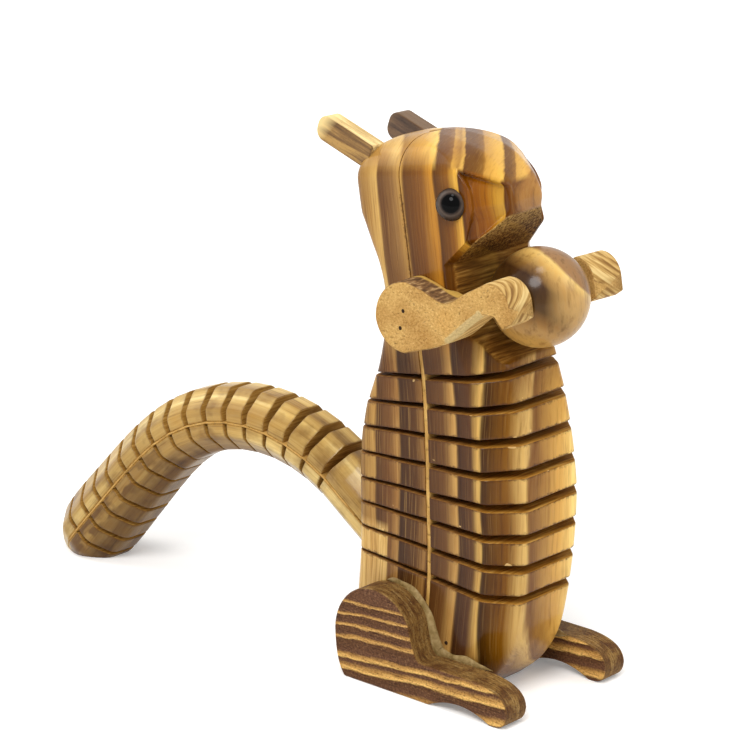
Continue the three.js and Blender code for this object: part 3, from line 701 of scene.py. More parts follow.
@dataclass
class Body:
    """Base, rings and head of the body, each in two halves on the links of the body's strip."""

    links: list[Link]
    blank: BodyBlank = field(default_factory=BodyBlank)
    head_step: float = 0.3

    def build(self, finish: Material) -> None:
        """Builds the base, the rings and the head.

        Args:
            finish: the striped varnished wood.
        """
        self.build_base(finish)
        blank = self.blank
        for ring in range(1, blank.rings + 1):
            start = (ring - 1) * blank.pitch + blank.kerf / 2
            end = ring * blank.pitch - blank.kerf / 2
            for half, word in ((Half.NEAR, "front"), (Half.FAR, "back")):
                skin = blank.sawn(half, start, end, 9, ring, ring + 1)
                node = f"body_ring_{ring}_{word}"
                link = self.links[ring]
                piece = make_piece(node + "_wood", skin, link.place(skin.points), finish)
                stand_for(piece, link.body, "striped_pine", node)
        self.build_head(finish)

    def build_base(self, finish: Material) -> None:
        """Two halves of the base, slotted for the end of the strip and cut flat by the floor.

        Args:
            finish: the body's wood.
        """
        blank, link = self.blank, self.links[0]
        sole = -blank.base_height - blank.sole_depth
        height, inset, scale = Easing(low=0.0).levels(sole, -blank.kerf / 2, 60)
        slot_end = -blank.base_strip_depth
        cut = mix(blank.seam_half, blank.strip_half, smoothstep(slot_end - 0.4, slot_end, height))
        for half, word in ((Half.NEAR, "front"), (Half.FAR, "back")):
            outline = drawn_in(blank.outline(half, height, cut), inset, scale)
            x, y = outline[..., 0], outline[..., 1]
            floor = -(link.hinge[2] / MM + y * math.sin(link.lean)) / math.cos(link.lean)
            weight = smoothstep(-3.0, 0.0, height)[:, None]
            z = np.maximum(height[:, None] + weight * saw_wander(x, y, 1, blank.wander), floor)
            points = np.stack([x, y, z], -1)
            skin = blank.with_marks(points, inset, scale, cut, NO_CUT - height, -blank.kerf / 2 - height)
            piece = make_piece(f"base_{word}_wood", skin, link.place(points), finish)
            merge_doubles(piece)
            stand_for(piece, link.body, "striped_pine", "base")

    def build_head(self, finish: Material) -> None:
        """Two halves of the head, with the carved brow, snout, jaw and throat on the front one.

        Args:
            finish: the body's wood.
        """
        blank, link = self.blank, self.links[-1]
        start, top = blank.stack + blank.kerf / 2, blank.stack + blank.crown_height
        low, inset, scale = Easing(high=0.0).levels(start, start + 1.0, 2)
        lower = slice(0, len(low) - Easing().bend_rings - Easing().face_rings)
        brow = blank.stack + blank.brow_height
        side = np.arange(start + 1.0, brow, self.head_step)
        crown = brow + (top - brow) * np.sin(np.linspace(0.0, math.pi / 2, 34))
        height = np.concatenate([low[lower], side, crown])
        inset = np.concatenate([inset[lower], np.zeros(len(side) + len(crown))])
        scale = np.concatenate([scale[lower], np.ones(len(side) + len(crown))])
        slot_end = blank.stack + blank.head_strip_depth
        cut = mix(blank.strip_half, blank.seam_half, smoothstep(slot_end, slot_end + 0.4, height))
        for half, word in ((Half.NEAR, "front"), (Half.FAR, "back")):
            points = raised(drawn_in(blank.outline(half, height, cut), inset, scale), height)
            x, y = points[..., 0], points[..., 1]
            near_cut = (1 - smoothstep(start, start + 3, height))[:, None]
            points[..., 2] += near_cut * saw_wander(x, y, blank.rings + 1, blank.wander)
            skin = blank.with_marks(points, inset, scale, cut, height - start, NO_CUT - height)
            if half is Half.NEAR:
                skin.bare = self.bare_face(points)
            node = f"head_{word}"
            piece = make_piece(node + "_wood", skin, link.place(points), finish)
            stand_for(piece, link.body, "striped_pine", node)

    def bare_face(self, points: Array) -> Array:
        """1 on the bare saw cuts of the chest notch, the throat and the jaw, 0 elsewhere.

        Args:
            points: points of the front half of the head.

        Returns:
            A share for each point.
        """
        blank = self.blank
        x, y, z = np.moveaxis(points, -1, 0)
        flat, _ = blank.front_corner(z)
        across = 1 - smoothstep(flat + 0.1, flat + 0.7, np.abs(x))
        facing = 1 - smoothstep(0.2, 0.6, blank.front(z) + y - blank.skew(z) * x)
        head = z - blank.stack
        between = smoothstep(blank.lip_height, blank.lip_height + 0.5, head)
        return across * facing * between * (1 - smoothstep(blank.jaw_high - 0.5, blank.jaw_high, head))


def merge_doubles(piece: Piece) -> None:
    """Joins points of a piece that fell on each other, and drops the faces that this leaves without area.

    An end that closes to a line needs no fan, so its pole is taken out.

    Args:
        piece: the piece.
    """
    work = bmesh.new()
    work.from_mesh(piece.data)
    work.verts.ensure_lookup_table()
    poles = work.verts[-2:]
    bmesh.ops.remove_doubles(work, verts=work.verts, dist=1e-6)
    loose = [pole for pole in poles if pole.is_valid and any(edge.is_boundary for edge in pole.link_edges)]
    bmesh.ops.delete(work, geom=loose, context="VERTS")
    bmesh.ops.dissolve_degenerate(work, edges=work.edges, dist=1e-7)
    work.to_mesh(piece.data)
    work.free()


@dataclass
class Tail:
    """Root, rings and tip of the tail, each in an upper and a lower half on the links of the tail's strip."""

    links: list[Link]
    base: Link
    blank: BodyBlank
    rings: int = 15
    pitch: float = 6.0
    kerf: float = 1.1
    strip_half: float = 0.24
    strip_shown: float = 0.42
    strip_recess: float = 0.3
    seam_half: float = 0.06
    root_length: float = 18.2
    root_radius: float = 7.3
    middle_radius: float = 7.7
    end_radius: float = 8.9
    tip_length: float = 10.5
    tip_radius: float = 5.2
    facets: int = 8
    facet_depth: float = 0.4
    seat_gap: float = 0.15
    ring_relief: float = 1.0
    tip_strip_depth: float = 5.0
    root_strip_depth: float = 11.0
    wander: float = 0.06

    @property
    def length(self) -> float:
        """Place of the last saw cut from the first."""
        return self.rings * self.pitch

    def radius(self, place: Array) -> Array:
        """Radius of the blank by place along it, rounding off at the tip.

        Args:
            place: places along the blank.

        Returns:
            Radii.
        """
        length, tip = self.length, self.tip_length
        return curve([
            (-2 * self.root_length, self.root_radius), (0.0, self.root_radius),
            (0.45 * length, self.middle_radius), (0.85 * length, self.end_radius),
            (length + 0.35 * tip, self.end_radius),
            (length + 0.8 * tip, mix(self.end_radius, self.tip_radius, 0.6)),
            (length + tip, self.tip_radius),
        ], place)

    def outline(self, half: Half, place: Array, cut: Array) -> Array:
        """Outlines of one half of the blank: half of a circle with soft facets, closed along the strip.

        The radius is the lesser of a circle's and of a flat facet's, which is the facet's distance over the
        cosine of the angle from its middle, and the two are eased together.

        Args:
            half: NEAR is the upper half, FAR the lower half.
            place: (levels,) places along the blank.
            cut: (levels,) distance of the cut face from the middle of the strip.

        Returns:
            (levels, points, 2) outlines, counter-clockwise seen from the tip.
        """
        radius = self.radius(place)[:, None]
        start = np.arcsin(cut / self.radius(place))[:, None]
        turn = start + (math.pi - 2 * start) * np.linspace(0.0, 1.0, 65)
        turn = turn + (math.pi if half is Half.NEAR else 0.0)
        step = 2 * math.pi / self.facets
        off = (turn + step / 2) % step - step / 2
        flat = (radius - self.facet_depth) / np.cos(off)
        gap = flat - radius
        reach = 0.5 * (flat + radius - np.sqrt(gap ** 2 + 0.004 * radius))
        arc = np.stack([reach * np.cos(turn), reach * np.sin(turn)], -1)
        share = np.linspace(0.0, 1.0, 18)[1:-1, None]
        return np.concatenate([arc, mix(arc[:, -1:], arc[:, :1], share)], axis=1)

    def skin(self, points: Array, inset: Array, scale: Array, near_edge: Array) -> Skin:
        """Skin whose end faces and strip face are marked as sawn, and whose edges are marked as rims.

        Args:
            points: points in the blank.
            inset: inset of each level.
            scale: scale of each level.
            near_edge: distance of each point from an edge.

        Returns:
            The skin.
        """
        face = ((inset > 0.1) | (scale < 1)).astype(float)[:, None]
        seam = (np.abs(points[..., 1]) < self.strip_half + 0.02).astype(float)
        rim = np.exp(-near_edge[:, None] / 0.3) * np.ones(points.shape[:2])
        return Skin(points, np.maximum(face, seam), rim)

    def build(self, finish: Material) -> None:
        """Builds the root, the rings and the tip.

        Args:
            finish: the pale varnished wood.
        """
        for half, word in ((Half.NEAR, "upper"), (Half.FAR, "lower")):
            self.build_root(half, word, finish)
            for ring in range(1, self.rings + 1):
                self.build_ring(ring, half, word, finish)
            self.build_tip(half, word, finish)

    def build_ring(self, ring: int, half: Half, word: str, finish: Material) -> None:
        """One half of a ring between two saw cuts.

        Args:
            ring: the ring's number.
            half: which half.
            word: its name in the pieces' names.
            finish: the tail's wood.
        """
        start = (ring - 1) * self.pitch + self.kerf / 2
        end = ring * self.pitch - self.kerf / 2
        place, inset, scale = Easing().levels(start, end, 7)
        outline = drawn_in(self.outline(half, place, np.full(len(place), self.strip_half)), inset, scale)
        x, y = outline[..., 0], outline[..., 1]
        share = np.clip((place - start) / (end - start), 0.0, 1.0)[:, None]
        z = place[:, None] + (1 - share) ** 2 * saw_wander(x, y, ring, self.wander)
        z = z + share ** 2 * saw_wander(x, y, ring + 1, self.wander)
        points = np.stack([x, y, z], -1)
        skin = self.skin(points, inset, scale, np.minimum(place - start, end - place))
        node = f"tail_ring_{ring:02d}_{word}"
        link = self.links[ring]
        piece = make_piece(node + "_wood", skin, link.place(points), finish)
        stand_for(piece, link.body, "tail_wood", node)

    def build_root(self, half: Half, word: str, finish: Material) -> None:
        """One half of the root, from its seat on the back of the body to the first saw cut.

        Each line along the blank starts where it meets the body's back, which is found in the base's frame,
        and stands further off where the rings above the base swing past it.

        Args:
            half: which half.
            word: the half's word in the piece's name.
            finish: the tail's wood.
        """
        link = self.links[0]
        place, inset, scale = Easing(low=0.0).levels(0.0, 1.0, 40)
        first = Easing().face_rings + Easing().bend_rings
        place, inset, scale = place[first - 1:], inset[first - 1:], scale[first - 1:]
        end = -self.kerf / 2
        along = mix(-self.root_length, end, place)
        along = np.where(place > 1 - 0.22, end - (1 - place), along)
        outline = drawn_in(self.outline(half, along, np.full(len(along), self.strip_half)), inset, scale)
        x, y = outline[..., 0], outline[..., 1]
        seat = self.seat(x, y)
        share = (along - along[0]) / (along[-1] - along[0])
        points = np.stack([x, y, mix(seat, along[-1], share[:, None])], -1)
        skin = self.skin(points, inset, scale, end - along)
        piece = make_piece(f"tail_root_{word}_wood", skin, link.place(points), finish)
        stand_for(piece, link.body, "tail_wood", "tail_root")

    def seat(self, x: Array, y: Array) -> Array:
        """Place along the root where a line at (x, y) meets the body's back, with a gap.

        Args:
            x: places across the blank.
            y: places through the blank.

        Returns:
            Places along the root.
        """
        def from_base(z: Array) -> Array:
            """Points on the lines at given places along the root, in the base's frame."""
            scene = self.links[0].place(np.stack([x, y, z], -1))
            return turned((scene - self.base.hinge) / MM, -self.base.lean)

        zero, one = from_base(np.zeros_like(x)), from_base(np.ones_like(x))
        slope = one[..., 1] - zero[..., 1]
        z = np.full_like(x, -self.root_length)
        for _ in range(4):
            height = from_base(z)[..., 2]
            gap = mix(self.seat_gap, self.ring_relief, smoothstep(-1.2, -0.5, height))
            z = (self.blank.back(height) + gap - zero[..., 1]) / slope
        return z

    def build_tip(self, half: Half, word: str, finish: Material) -> None:
        """One half of the blunt tip, worn flat where it rests on the floor.

        Args:
            half: which half.
            word: its name in the pieces' names.
            finish: the tail's wood.
        """
        link = self.links[-1]
        start, end = self.length + self.kerf / 2, self.length + self.tip_length
        low, inset, scale = Easing(high=0.0).levels(start, start + 1.0, 2)
        lower = slice(0, len(low) - Easing().bend_rings - Easing().face_rings)
        side = np.linspace(start + 1.0, end, 44)
        share = np.linspace(0.97, 0.1, 14)
        place = np.concatenate([low[lower], side, end + 0.5 * (1 - share ** 2)])
        inset = np.concatenate([inset[lower], np.zeros(len(side) + len(share))])
        scale = np.concatenate([scale[lower], np.ones(len(side)), share])
        slot_end = self.length + self.tip_strip_depth
        cut = mix(self.strip_half, self.seam_half, smoothstep(slot_end, slot_end + 0.4, place))
        outline = self.outline(half, np.minimum(place, end), cut)
        whole = outline.copy()
        outline = drawn_in(outline, inset, np.where(place > end, 1.0, scale))
        closing = (place > end)[:, None, None]
        outline = np.where(closing, whole * scale[:, None, None], outline)
        points = raised(outline, place)
        skin = self.skin(points, inset, np.where(place > end, 1.0, scale), np.abs(place - start))
        scene = link.place(points)
        scene[..., 2] = np.maximum(scene[..., 2], 0.0)
        piece = make_piece(f"tail_tip_{word}_wood", skin, scene, finish)
        merge_doubles(piece)
        stand_for(piece, link.body, "tail_wood", "tail_tip")


@dataclass
class Strip:
    """Flexible band between the two halves of a blank, in one stretch across each saw cut."""

    name: str
    links: list[Link]
    pitch: float
    kerf: float
    start_depth: float
    end_depth: float
    thickness: float
    recess: float = 0.12

    def build(self, half_width: Any, finish: Material) -> None:
        """Builds the stretches, each bent between the two links that it joins.

        A stretch runs from the middle of one link to the middle of the next. Each of its points is placed on
        both links and moves over from the first place to the second across the saw cut.

        Args:
            half_width: half width of the blank by place along it.
            finish: the cloth.
        """
        for number, (before, after) in enumerate(zip(self.links, self.links[1:]), start=1):
            first, last = number == 1, number == len(self.links) - 1
            cut = (number - 1) * self.pitch
            low = cut - (self.start_depth if first else self.pitch / 2)
            high = cut + (self.end_depth if last else self.pitch / 2)
            near, far = cut - self.kerf / 2, cut + self.kerf / 2
            place = np.unique(np.concatenate([
                np.linspace(low, near, 5), np.linspace(near, far, 9), np.linspace(far, high, 5),
            ]).round(6))
            w = half_width(place) - self.recess
            t = np.full(len(place), self.thickness / 2)
            corners = polygons((-w, -t), (w, -t), (w, t), (-w, t))
            outline = rounded_outline(corners, np.full((len(place), 4), 0.2), arc=4, edge=6)
            points = raised(outline, place)
            moved = smoothstep(near, far, points[..., 2])[..., None]
            scene = mix(before.place(points), after.place(points), moved)
            piece = make_piece(f"{self.name}_stretch_{number:02d}", Skin(points), scene, finish)
            edge = np.array([0.0, 0.0, self.kerf / 2])
            zero = np.array([0.0, 0.0, cut])
            tuple(before.place(zero - edge))
            tuple(after.place(zero + edge))
            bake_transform(piece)
            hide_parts(self.name)


@dataclass
class Plate:
    """A flat piece sawn from a board: an outline seen from the side, given a thickness and eased edges.

    The outline is given as a lower and an upper edge over the reach, which runs forwards.
    """

    thickness: float
    ease: float

    def rings(self, reach: Array, lower: Array, upper: Array, ease_outer_low: Array) -> Skin:
        """Rings of rounded rectangles along the reach.

        Args:
            reach: (levels,) places along the reach.
            lower: (levels,) lower edge.
            upper: (levels,) upper edge.
            ease_outer_low: (levels,) easing of the outer lower edge.

        Returns:
            Skin whose points are (distance from the inner face, reach, height). Its sawn faces are the edges
            of the board, and its rims lie along the outline.
        """
        zero = np.zeros(len(reach))
        depth = np.full(len(reach), self.thickness)
        corners = polygons((zero, lower), (depth, lower), (depth, upper), (zero, upper))
        ease = np.full(len(reach), self.ease)
        cut = np.array([0.0, 0.85, 0.0, 0.0])[:, None] * (ease_outer_low > 2 * self.ease)[:, None, None]
        rounding = np.stack([ease, ease_outer_low, ease, ease], -1)
        outline = rounded_outline(corners, rounding, arc=7, edge=16, flat=cut)
        x, h = outline[..., 0], outline[..., 1]
        points = np.stack([x, np.broadcast_to(reach[:, None], x.shape), h], -1)
        from_edge = np.minimum(h - lower[:, None], upper[:, None] - h)
        from_face = np.minimum(x, self.thickness - x)
        sawn = smoothstep(0.05, 0.3, from_face) * (from_edge < 0.02 + self.ease)
        rim = np.exp(-np.maximum(from_edge, 0) / 0.35)
        pared = (x + lower[:, None] + ease_outer_low[:, None] - h - self.thickness) > -0.25
        bare = pared * (ease_outer_low > 2 * self.ease)[:, None] * 1.0
        sawn = np.maximum(sawn, (from_edge < 0.01) * (from_face > 0.05)) * (1 - bare)
        return Skin(points, sawn, rim * (1 - bare), bare)


def spread(start: float, end: float, count: int, low: float = 2.0, high: float = 2.0) -> Array:
    """Places from start to end, crowded towards an end where its power is above 1."""
    t = np.linspace(0.0, 1.0, count)
    return mix(start, end, mix(t ** low, 1 - (1 - t) ** high, smoothstep(0.0, 1.0, t)))


@dataclass
class Arms:
    """Two S-shaped arms of bare board from the shoulders to the paws, with two headless pins each."""

    link: Link
    blank: BodyBlank
    thickness: float = 8.0
    ease: float = 0.45
    pared: float = 0.85
    toe_in: float = 5.0
    inner: float = 10.2
    paw_place: float = 21.2
    shoulder_radius: float = 7.2
    shoulder: tuple[float, float] = (2.4, 13.2)
    crook: tuple[float, float] = (12.4, 16.1)
    elbow: tuple[float, float] = (11.2, 7.9)
    wrist: tuple[float, float] = (21.4, 13.8)
    palm: tuple[float, float] = (25.3, 10.8)
    paw_reach: float = 27.3
    paw_top: float = 19.9
    paw_round: float = 4.6
    pins: tuple[tuple[float, float], ...] = ((2.1, 14.6), (0.9, 11.2))
    pin_radius: float = 0.42
    pin_stand: float = 0.06

    def upper(self, reach: Array) -> Array:
        """Upper edge by reach: a round shoulder, a dip at the crook and a paw with a round knuckle.

        Args:
            reach: places along the board.

        Returns:
            Heights.
        """
        cx, cz = self.shoulder
        r = self.shoulder_radius
        arc = cz + np.sqrt(np.maximum(r * r - (reach - cx) ** 2, 0.0))
        knuckle = self.paw_reach - self.paw_round
        rest = curve([
            (cx + 0.174 * r, cz + 0.985 * r), (cx + 0.616 * r, cz + 0.788 * r), self.crook,
            (mix(knuckle, self.crook[0], 0.5), mix(self.paw_top, self.crook[1], 0.5)),
            (knuckle, self.paw_top),
        ], reach)
        tip = np.clip((reach - knuckle) / self.paw_round, 0.0, 1.0)
        paw = self.paw_top - self.paw_round * (1 - np.sqrt(1 - tip ** 2))
        return np.where(reach < cx + 0.174 * r, arc, np.where(reach < knuckle, rest, paw))

    def lower(self, reach: Array) -> Array:
        """Lower edge by reach: a round shoulder, a long rise to the wrist and a paw that drops again.

        Args:
            reach: places along the board.

        Returns:
            Heights.
        """
        cx, cz = self.shoulder
        r = self.shoulder_radius
        arc = cz - np.sqrt(np.maximum(r * r - (reach - cx) ** 2, 0.0))
        rest = curve([
            (cx - 0.174 * r, cz - 0.985 * r), self.elbow,
            (mix(self.elbow[0], self.wrist[0], 0.62), mix(self.elbow[1], self.wrist[1], 0.62)), self.wrist,
        ], reach)
        paw = eased([
            (self.wrist[0] - 1.0, self.wrist[1] - 0.4), self.wrist,
            (mix(self.palm[0], self.wrist[0], 0.4), self.wrist[1] - 0.6), self.palm,
            (self.paw_reach, self.palm[1] + 1.0),
        ], reach, ease=0.15)
        return np.where(reach < cx - 0.174 * r, arc, np.where(reach < self.wrist[0], rest, paw))

    def on_head(self, side: Side, board: Array) -> Array:
        """Points in the head's blank from points on the board.

        The board is turned in about the paw and set beside the ball, and its inner face is worked down to the
        head's side where the head is wider.

        Args:
            side: which arm.
            board: (..., 3) distance from the inner face, reach and height.

        Returns:
            Points of the same shape.
        """
        turn = math.radians(self.toe_in)
        x, reach, h = np.moveaxis(board, -1, 0)
        y = self.paw_place - reach
        out = self.inner + x * math.cos(turn) + y * math.sin(turn)
        deep = y * math.cos(turn) - x * math.sin(turn) - self.paw_place
        fitted = np.maximum(out, self.blank.side_at(deep, h + self.blank.stack) + 0.15)
        return np.stack([side.value * fitted, deep, h + self.blank.stack], -1)

    def build(self, finish: Material, pin_finish: Material) -> None:
        """Builds both arms and their pins.

        Args:
            finish: the bare board.
            pin_finish: the dark ends of the pins.
        """
        back = self.shoulder[0] - self.shoulder_radius
        reach = spread(back, self.paw_reach, count=150, low=2.2, high=1.3)
        board = Plate(self.thickness, self.ease)
        share = smoothstep(self.elbow[0] - 3, self.elbow[0] + 3, reach)
        share = share * (1 - smoothstep(self.wrist[0] - 1.6, self.wrist[0] + 0.4, reach))
        bevel = self.ease + self.pared * share
        for side in Side:
            skin = board.rings(reach, self.lower(reach), self.upper(reach), bevel)
            word = side.name.lower()
            scene = self.link.place(self.on_head(side, skin.points))
            if side is Side.RIGHT:
                scene, skin = scene[:, ::-1], skin.turned_over()
            piece = make_piece(f"{word}_arm_wood", skin, scene, finish)
            merge_doubles(piece)
            stand_for(piece, self.link.body, "bare_wood", f"{word}_arm")
            for number, (front, h) in enumerate(self.pins, start=1):
                centre = self.on_head(side, np.array([self.thickness, front, h]))
                name = f"{word}_arm_pin_{number}"
                pin = pin_end(name, self.link, centre, side, self.pin_radius, self.pin_stand, pin_finish)
                stand_for(pin, self.link.body, "bare_wood")


def pin_end(name: str, link: Link, centre: Array, side: Side, radius: float, stand: float,
            finish: Material) -> Piece:
    """End of a headless pin in a side face: a shallow dome of rings about X.

    Args:
        name: the object's name.
        link: the link whose blank the place is given in.
        centre: place on the face, in the blank.
        side: which side it faces.
        radius: the pin's radius.
        stand: height of the dome over the face.
        finish: the material.

    Returns:
        The new object.
    """
    turn = np.linspace(0.0, math.pi / 2, 6)
    out = np.concatenate([[-1.2], stand * np.sin(turn)])
    r = np.concatenate([[radius], radius * np.cos(turn) + 1e-4])
    about = np.linspace(0.0, 2 * math.pi, 16, endpoint=False)
    ring = np.stack([np.cos(about) * side.value, np.sin(about)], -1)
    points = np.empty((len(out), len(about), 3))
    points[..., 0] = centre[0] + side.value * out[:, None]
    points[..., 1:] = centre[1:] + r[:, None, None] * ring
    return make_piece(name, Skin(points), link.place(points), finish)


@dataclass
class Legs:
    """Two legs of scorched board with a round haunch and a long foot, glued to the sides of the base."""

    link: Link
    thickness: float = 6.5
    ease: float = 0.5
    inner: float = 12.75
    haunch_radius: float = 10.5
    haunch_back: float = 9.3
    haunch_end: tuple[float, float] = (-0.03, 15.43)
    heel_back: float = 17.3
    knee: float = 3.2
    foot_height: float = 8.3
    toe_start: float = 15.6
    toe_reach: float = 25.8
    toe_round: float = 3.4
    arch: tuple[float, float] = (5.5, 21.5)
    arch_height: float = 4.0
    bead_radius: float = 0.6
    bead_spread: float = 1.6
    bead_run: tuple[float, float] = (-12.0, 17.0)
    pin_place: tuple[float, float] = (-4.6, 11.2)
    pin_radius: float = 0.4
    pin_stand: float = 0.08

    def upper(self, reach: Array) -> Array:
        """Upper edge by reach: the haunch's circle, a hollow at the knee, a level foot and a rounded toe.

        Args:
            reach: places along the board.

        Returns:
            Heights.
        """
        r = self.haunch_radius
        haunch = r + np.sqrt(np.maximum(r * r - (reach + self.haunch_back) ** 2, 0.0))
        t = np.clip((reach - self.haunch_end[0]) / (self.knee - self.haunch_end[0]), 0.0, 1.0)
        hollow = self.foot_height + (self.haunch_end[1] - self.foot_height) * (1 - t) ** 2
        u = 1 - np.sqrt(np.clip((self.toe_reach - reach) / (self.toe_reach - self.toe_start), 0.0, 1.0))
        toe = self.foot_height - (self.foot_height - self.toe_round) * u ** 2
        return np.where(reach < self.haunch_end[0], haunch, np.where(reach < self.toe_start, hollow, toe))

    def lower(self, reach: Array) -> Array:
        """Lower edge by reach: a round heel, the floor, a hollow under the foot and a rounded toe.

        Args:
            reach: places along the board.

        Returns:
            Heights.
        """
        heel_end = self.haunch_back + self.haunch_radius
        t = 1 - np.sqrt(np.clip((heel_end + reach) / (heel_end - self.heel_back), 0.0, 1.0))
        heel = 0.5 * self.haunch_radius * t * (1 - t) + self.haunch_radius * t ** 2
        a = np.clip((reach - self.arch[0]) / (self.arch[1] - self.arch[0]), 0.0, 1.0)
        hollow = 2 * self.arch_height * a * (1 - a)
        u = 1 - np.sqrt(np.clip((self.toe_reach - reach) / self.toe_round, 0.0, 1.0))
        return np.where(reach < 0, heel, np.maximum(hollow, self.toe_round * u ** 2))

    def build(self, finish: Material, bead: Material, pin_finish: Material) -> None:
        """Builds both legs, the beads of glue along them and a pin beside each.

        Args:
            finish: the scorched board.
            bead: the dried glue.
            pin_finish: the dark ends of the pins.
        """
        reach = spread(-self.haunch_back - self.haunch_radius, self.toe_reach, count=170, low=1.6, high=1.6)
        board = Plate(self.thickness, self.ease)
        skin = board.rings(reach, self.lower(reach), self.upper(reach), np.full(len(reach), self.ease))
        x, front, h = np.moveaxis(skin.points, -1, 0)
        level = Link(self.link.body, np.zeros(3), 0.0, 0.0)
        for side in Side:
            word = side.name.lower()
            scene = MM * np.stack([side.value * (self.inner + x), -front, h], -1)
            rings = skin
            if side is Side.RIGHT:
                scene, rings = scene[:, ::-1], skin.turned_over()
            piece = make_piece(f"{word}_leg_wood", rings, scene, finish)
            merge_doubles(piece)
            stand_for(piece, self.link.body, "scorched_wood", f"{word}_leg")
            self.build_bead(side, bead)
            centre = np.array([side.value * (self.inner - 0.15), *self.pin_place])
            name = f"{word}_base_pin"
            pin = pin_end(name, level, centre, side, self.pin_radius, self.pin_stand, pin_finish)
            stand_for(pin, self.link.body, "scorched_wood")

    def build_bead(self, side: Side, finish: Material) -> None:
        """Bead of dried glue between a leg's upper edge and the base: an uneven tube along the edge.

        Args:
            side: the leg's side.
            finish: the dried glue.
        """
        first, last = self.bead_run
        reach = np.linspace(first, last, 90)
        path = np.stack([reach, self.upper(reach) + 0.15], -1)
        ahead = np.gradient(path, axis=0)
        out = np.stack([-ahead[:, 1], ahead[:, 0]], -1) / np.linalg.norm(ahead, axis=1)[:, None]
        swell = 1 + 0.3 * np.sin(0.9 * reach + side.value) + 0.8 * np.exp(-((reach - 1.5) / 3.0) ** 2)
        ends = smoothstep(first, first + 4.0, reach) * (1 - smoothstep(last - 5.0, last, reach))
        size = self.bead_radius * swell * ends + 0.02
        about = np.linspace(0.0, 2 * math.pi, 14, endpoint=False)
        across = self.inner - 0.2 + 0.8 * size[:, None] * np.cos(about)
        along = path[:, None] + out[:, None] * (self.bead_spread * size[:, None] * np.sin(about))[..., None]
        points = np.stack([side.value * across, -along[..., 0], along[..., 1]], -1)
        if side is Side.RIGHT:
            points = points[:, ::-1]
        piece = make_piece(f"{side.name.lower()}_leg_glue", Skin(points), MM * points, finish)
        stand_for(piece, self.link.body, "scorched_wood")


@dataclass
class Ears:
    """Two short square bars with round ends, glued to the back of the head."""

    link: Link
    blank: BodyBlank
    length: dict[Side, float] = field(default_factory=lambda: {Side.RIGHT: 11.9, Side.LEFT: 10.2})
    height: dict[Side, float] = field(default_factory=lambda: {Side.RIGHT: 5.3, Side.LEFT: 5.8})
    root_height: dict[Side, float] = field(default_factory=lambda: {Side.RIGHT: 45.0, Side.LEFT: 43.5})
    rise: float = 29.0
    end_round: float = 2.0
    thickness: float = 4.0
    spread: float = 9.6
    root_back: float = 11.3
    sunk: float = 2.6
    ease: float = 0.28

    def build(self, finishes: dict[Side, Material]) -> None:
        """Builds both ears.

        Args:
            finishes: the wood of each ear.
        """
        for side in Side:
            length, half = self.length[side], self.height[side] / 2
            reach = spread(-self.sunk, length, count=60, low=1.0, high=2.2)
            t = np.clip((reach - length) / self.end_round + 1, 0.0, 1.0)
            bow = half - self.end_round * (1 - np.sqrt(1 - t ** 2))
            skin = Plate(self.thickness, self.ease).rings(reach, -bow, bow, np.full(len(reach), self.ease))
            x, along, h = np.moveaxis(skin.points, -1, 0)
            bar = np.stack([x - self.thickness / 2, along, h], -1)
            high = self.root_height[side] + self.blank.stack
            place = np.array([side.value * self.spread, self.root_back, high])
            points = turned(bar, math.radians(self.rise)) + place
            scene = self.link.place(points)[:, ::-1]
            word = side.name.lower()
            piece = make_piece(f"{word}_ear_wood", skin.turned_over(), scene, finishes[side])
            stand_for(piece, self.link.body, "striped_pine", f"{word}_ear")


@dataclass
class Eyes:
    """Two domed eyes set into the sides of the head."""

    link: Link
    blank: BodyBlank
    front: dict[Side, float] = field(default_factory=lambda: {Side.RIGHT: 12.8, Side.LEFT: 8.0})
    radius: float = 3.25
    dome: float = 3.0
    sink: float = 0.2
    height: float = 34.4
    gaze_forward: float = 34.0
    gaze_up: float = 10.0

    def build(self, finish: Material) -> None:
        """Builds both eyes: rings about X over a dome that is part of an ellipse.

        The colours go by the angle from the gaze, which is turned forwards and up from the eye's own axis.

        Args:
            finish: the clear dome over its dark pupil.
        """
        turn = np.linspace(0.0, math.pi / 2, 26)
        out = np.concatenate([[-0.6], self.dome * np.sin(turn)])
        r = np.concatenate([[self.radius], self.radius * np.cos(turn) ** 0.9 + 1e-4])
        about = np.linspace(0.0, 2 * math.pi, 72, endpoint=False)
        ahead, up = math.radians(self.gaze_forward), math.radians(self.gaze_up)
        gaze = np.array([math.cos(ahead) * math.cos(up), -math.sin(ahead) * math.cos(up), math.sin(up)])
        for side in Side:
            local = np.empty((len(out), len(about), 3))
            local[..., 0] = out[:, None]
            local[..., 1] = r[:, None] * np.cos(about) * side.value
            local[..., 2] = r[:, None] * np.sin(about)
            high = self.blank.stack + self.height
            seat = np.array([side.value * (self.blank.head_half - self.sink), -self.front[side], high])
            points = local * np.array([side.value, 1.0, 1.0]) + seat
            ball = local * np.array([self.radius / self.dome, 1.0, 1.0])
            skin = Skin(ball - (ball @ gaze)[..., None] * gaze)
            word = side.name.lower()
            piece = make_piece(f"{word}_eye_dome", skin, self.link.place(points), finish)
            stand_for(piece, self.link.body, "eye_plastic", f"{word}_eye")


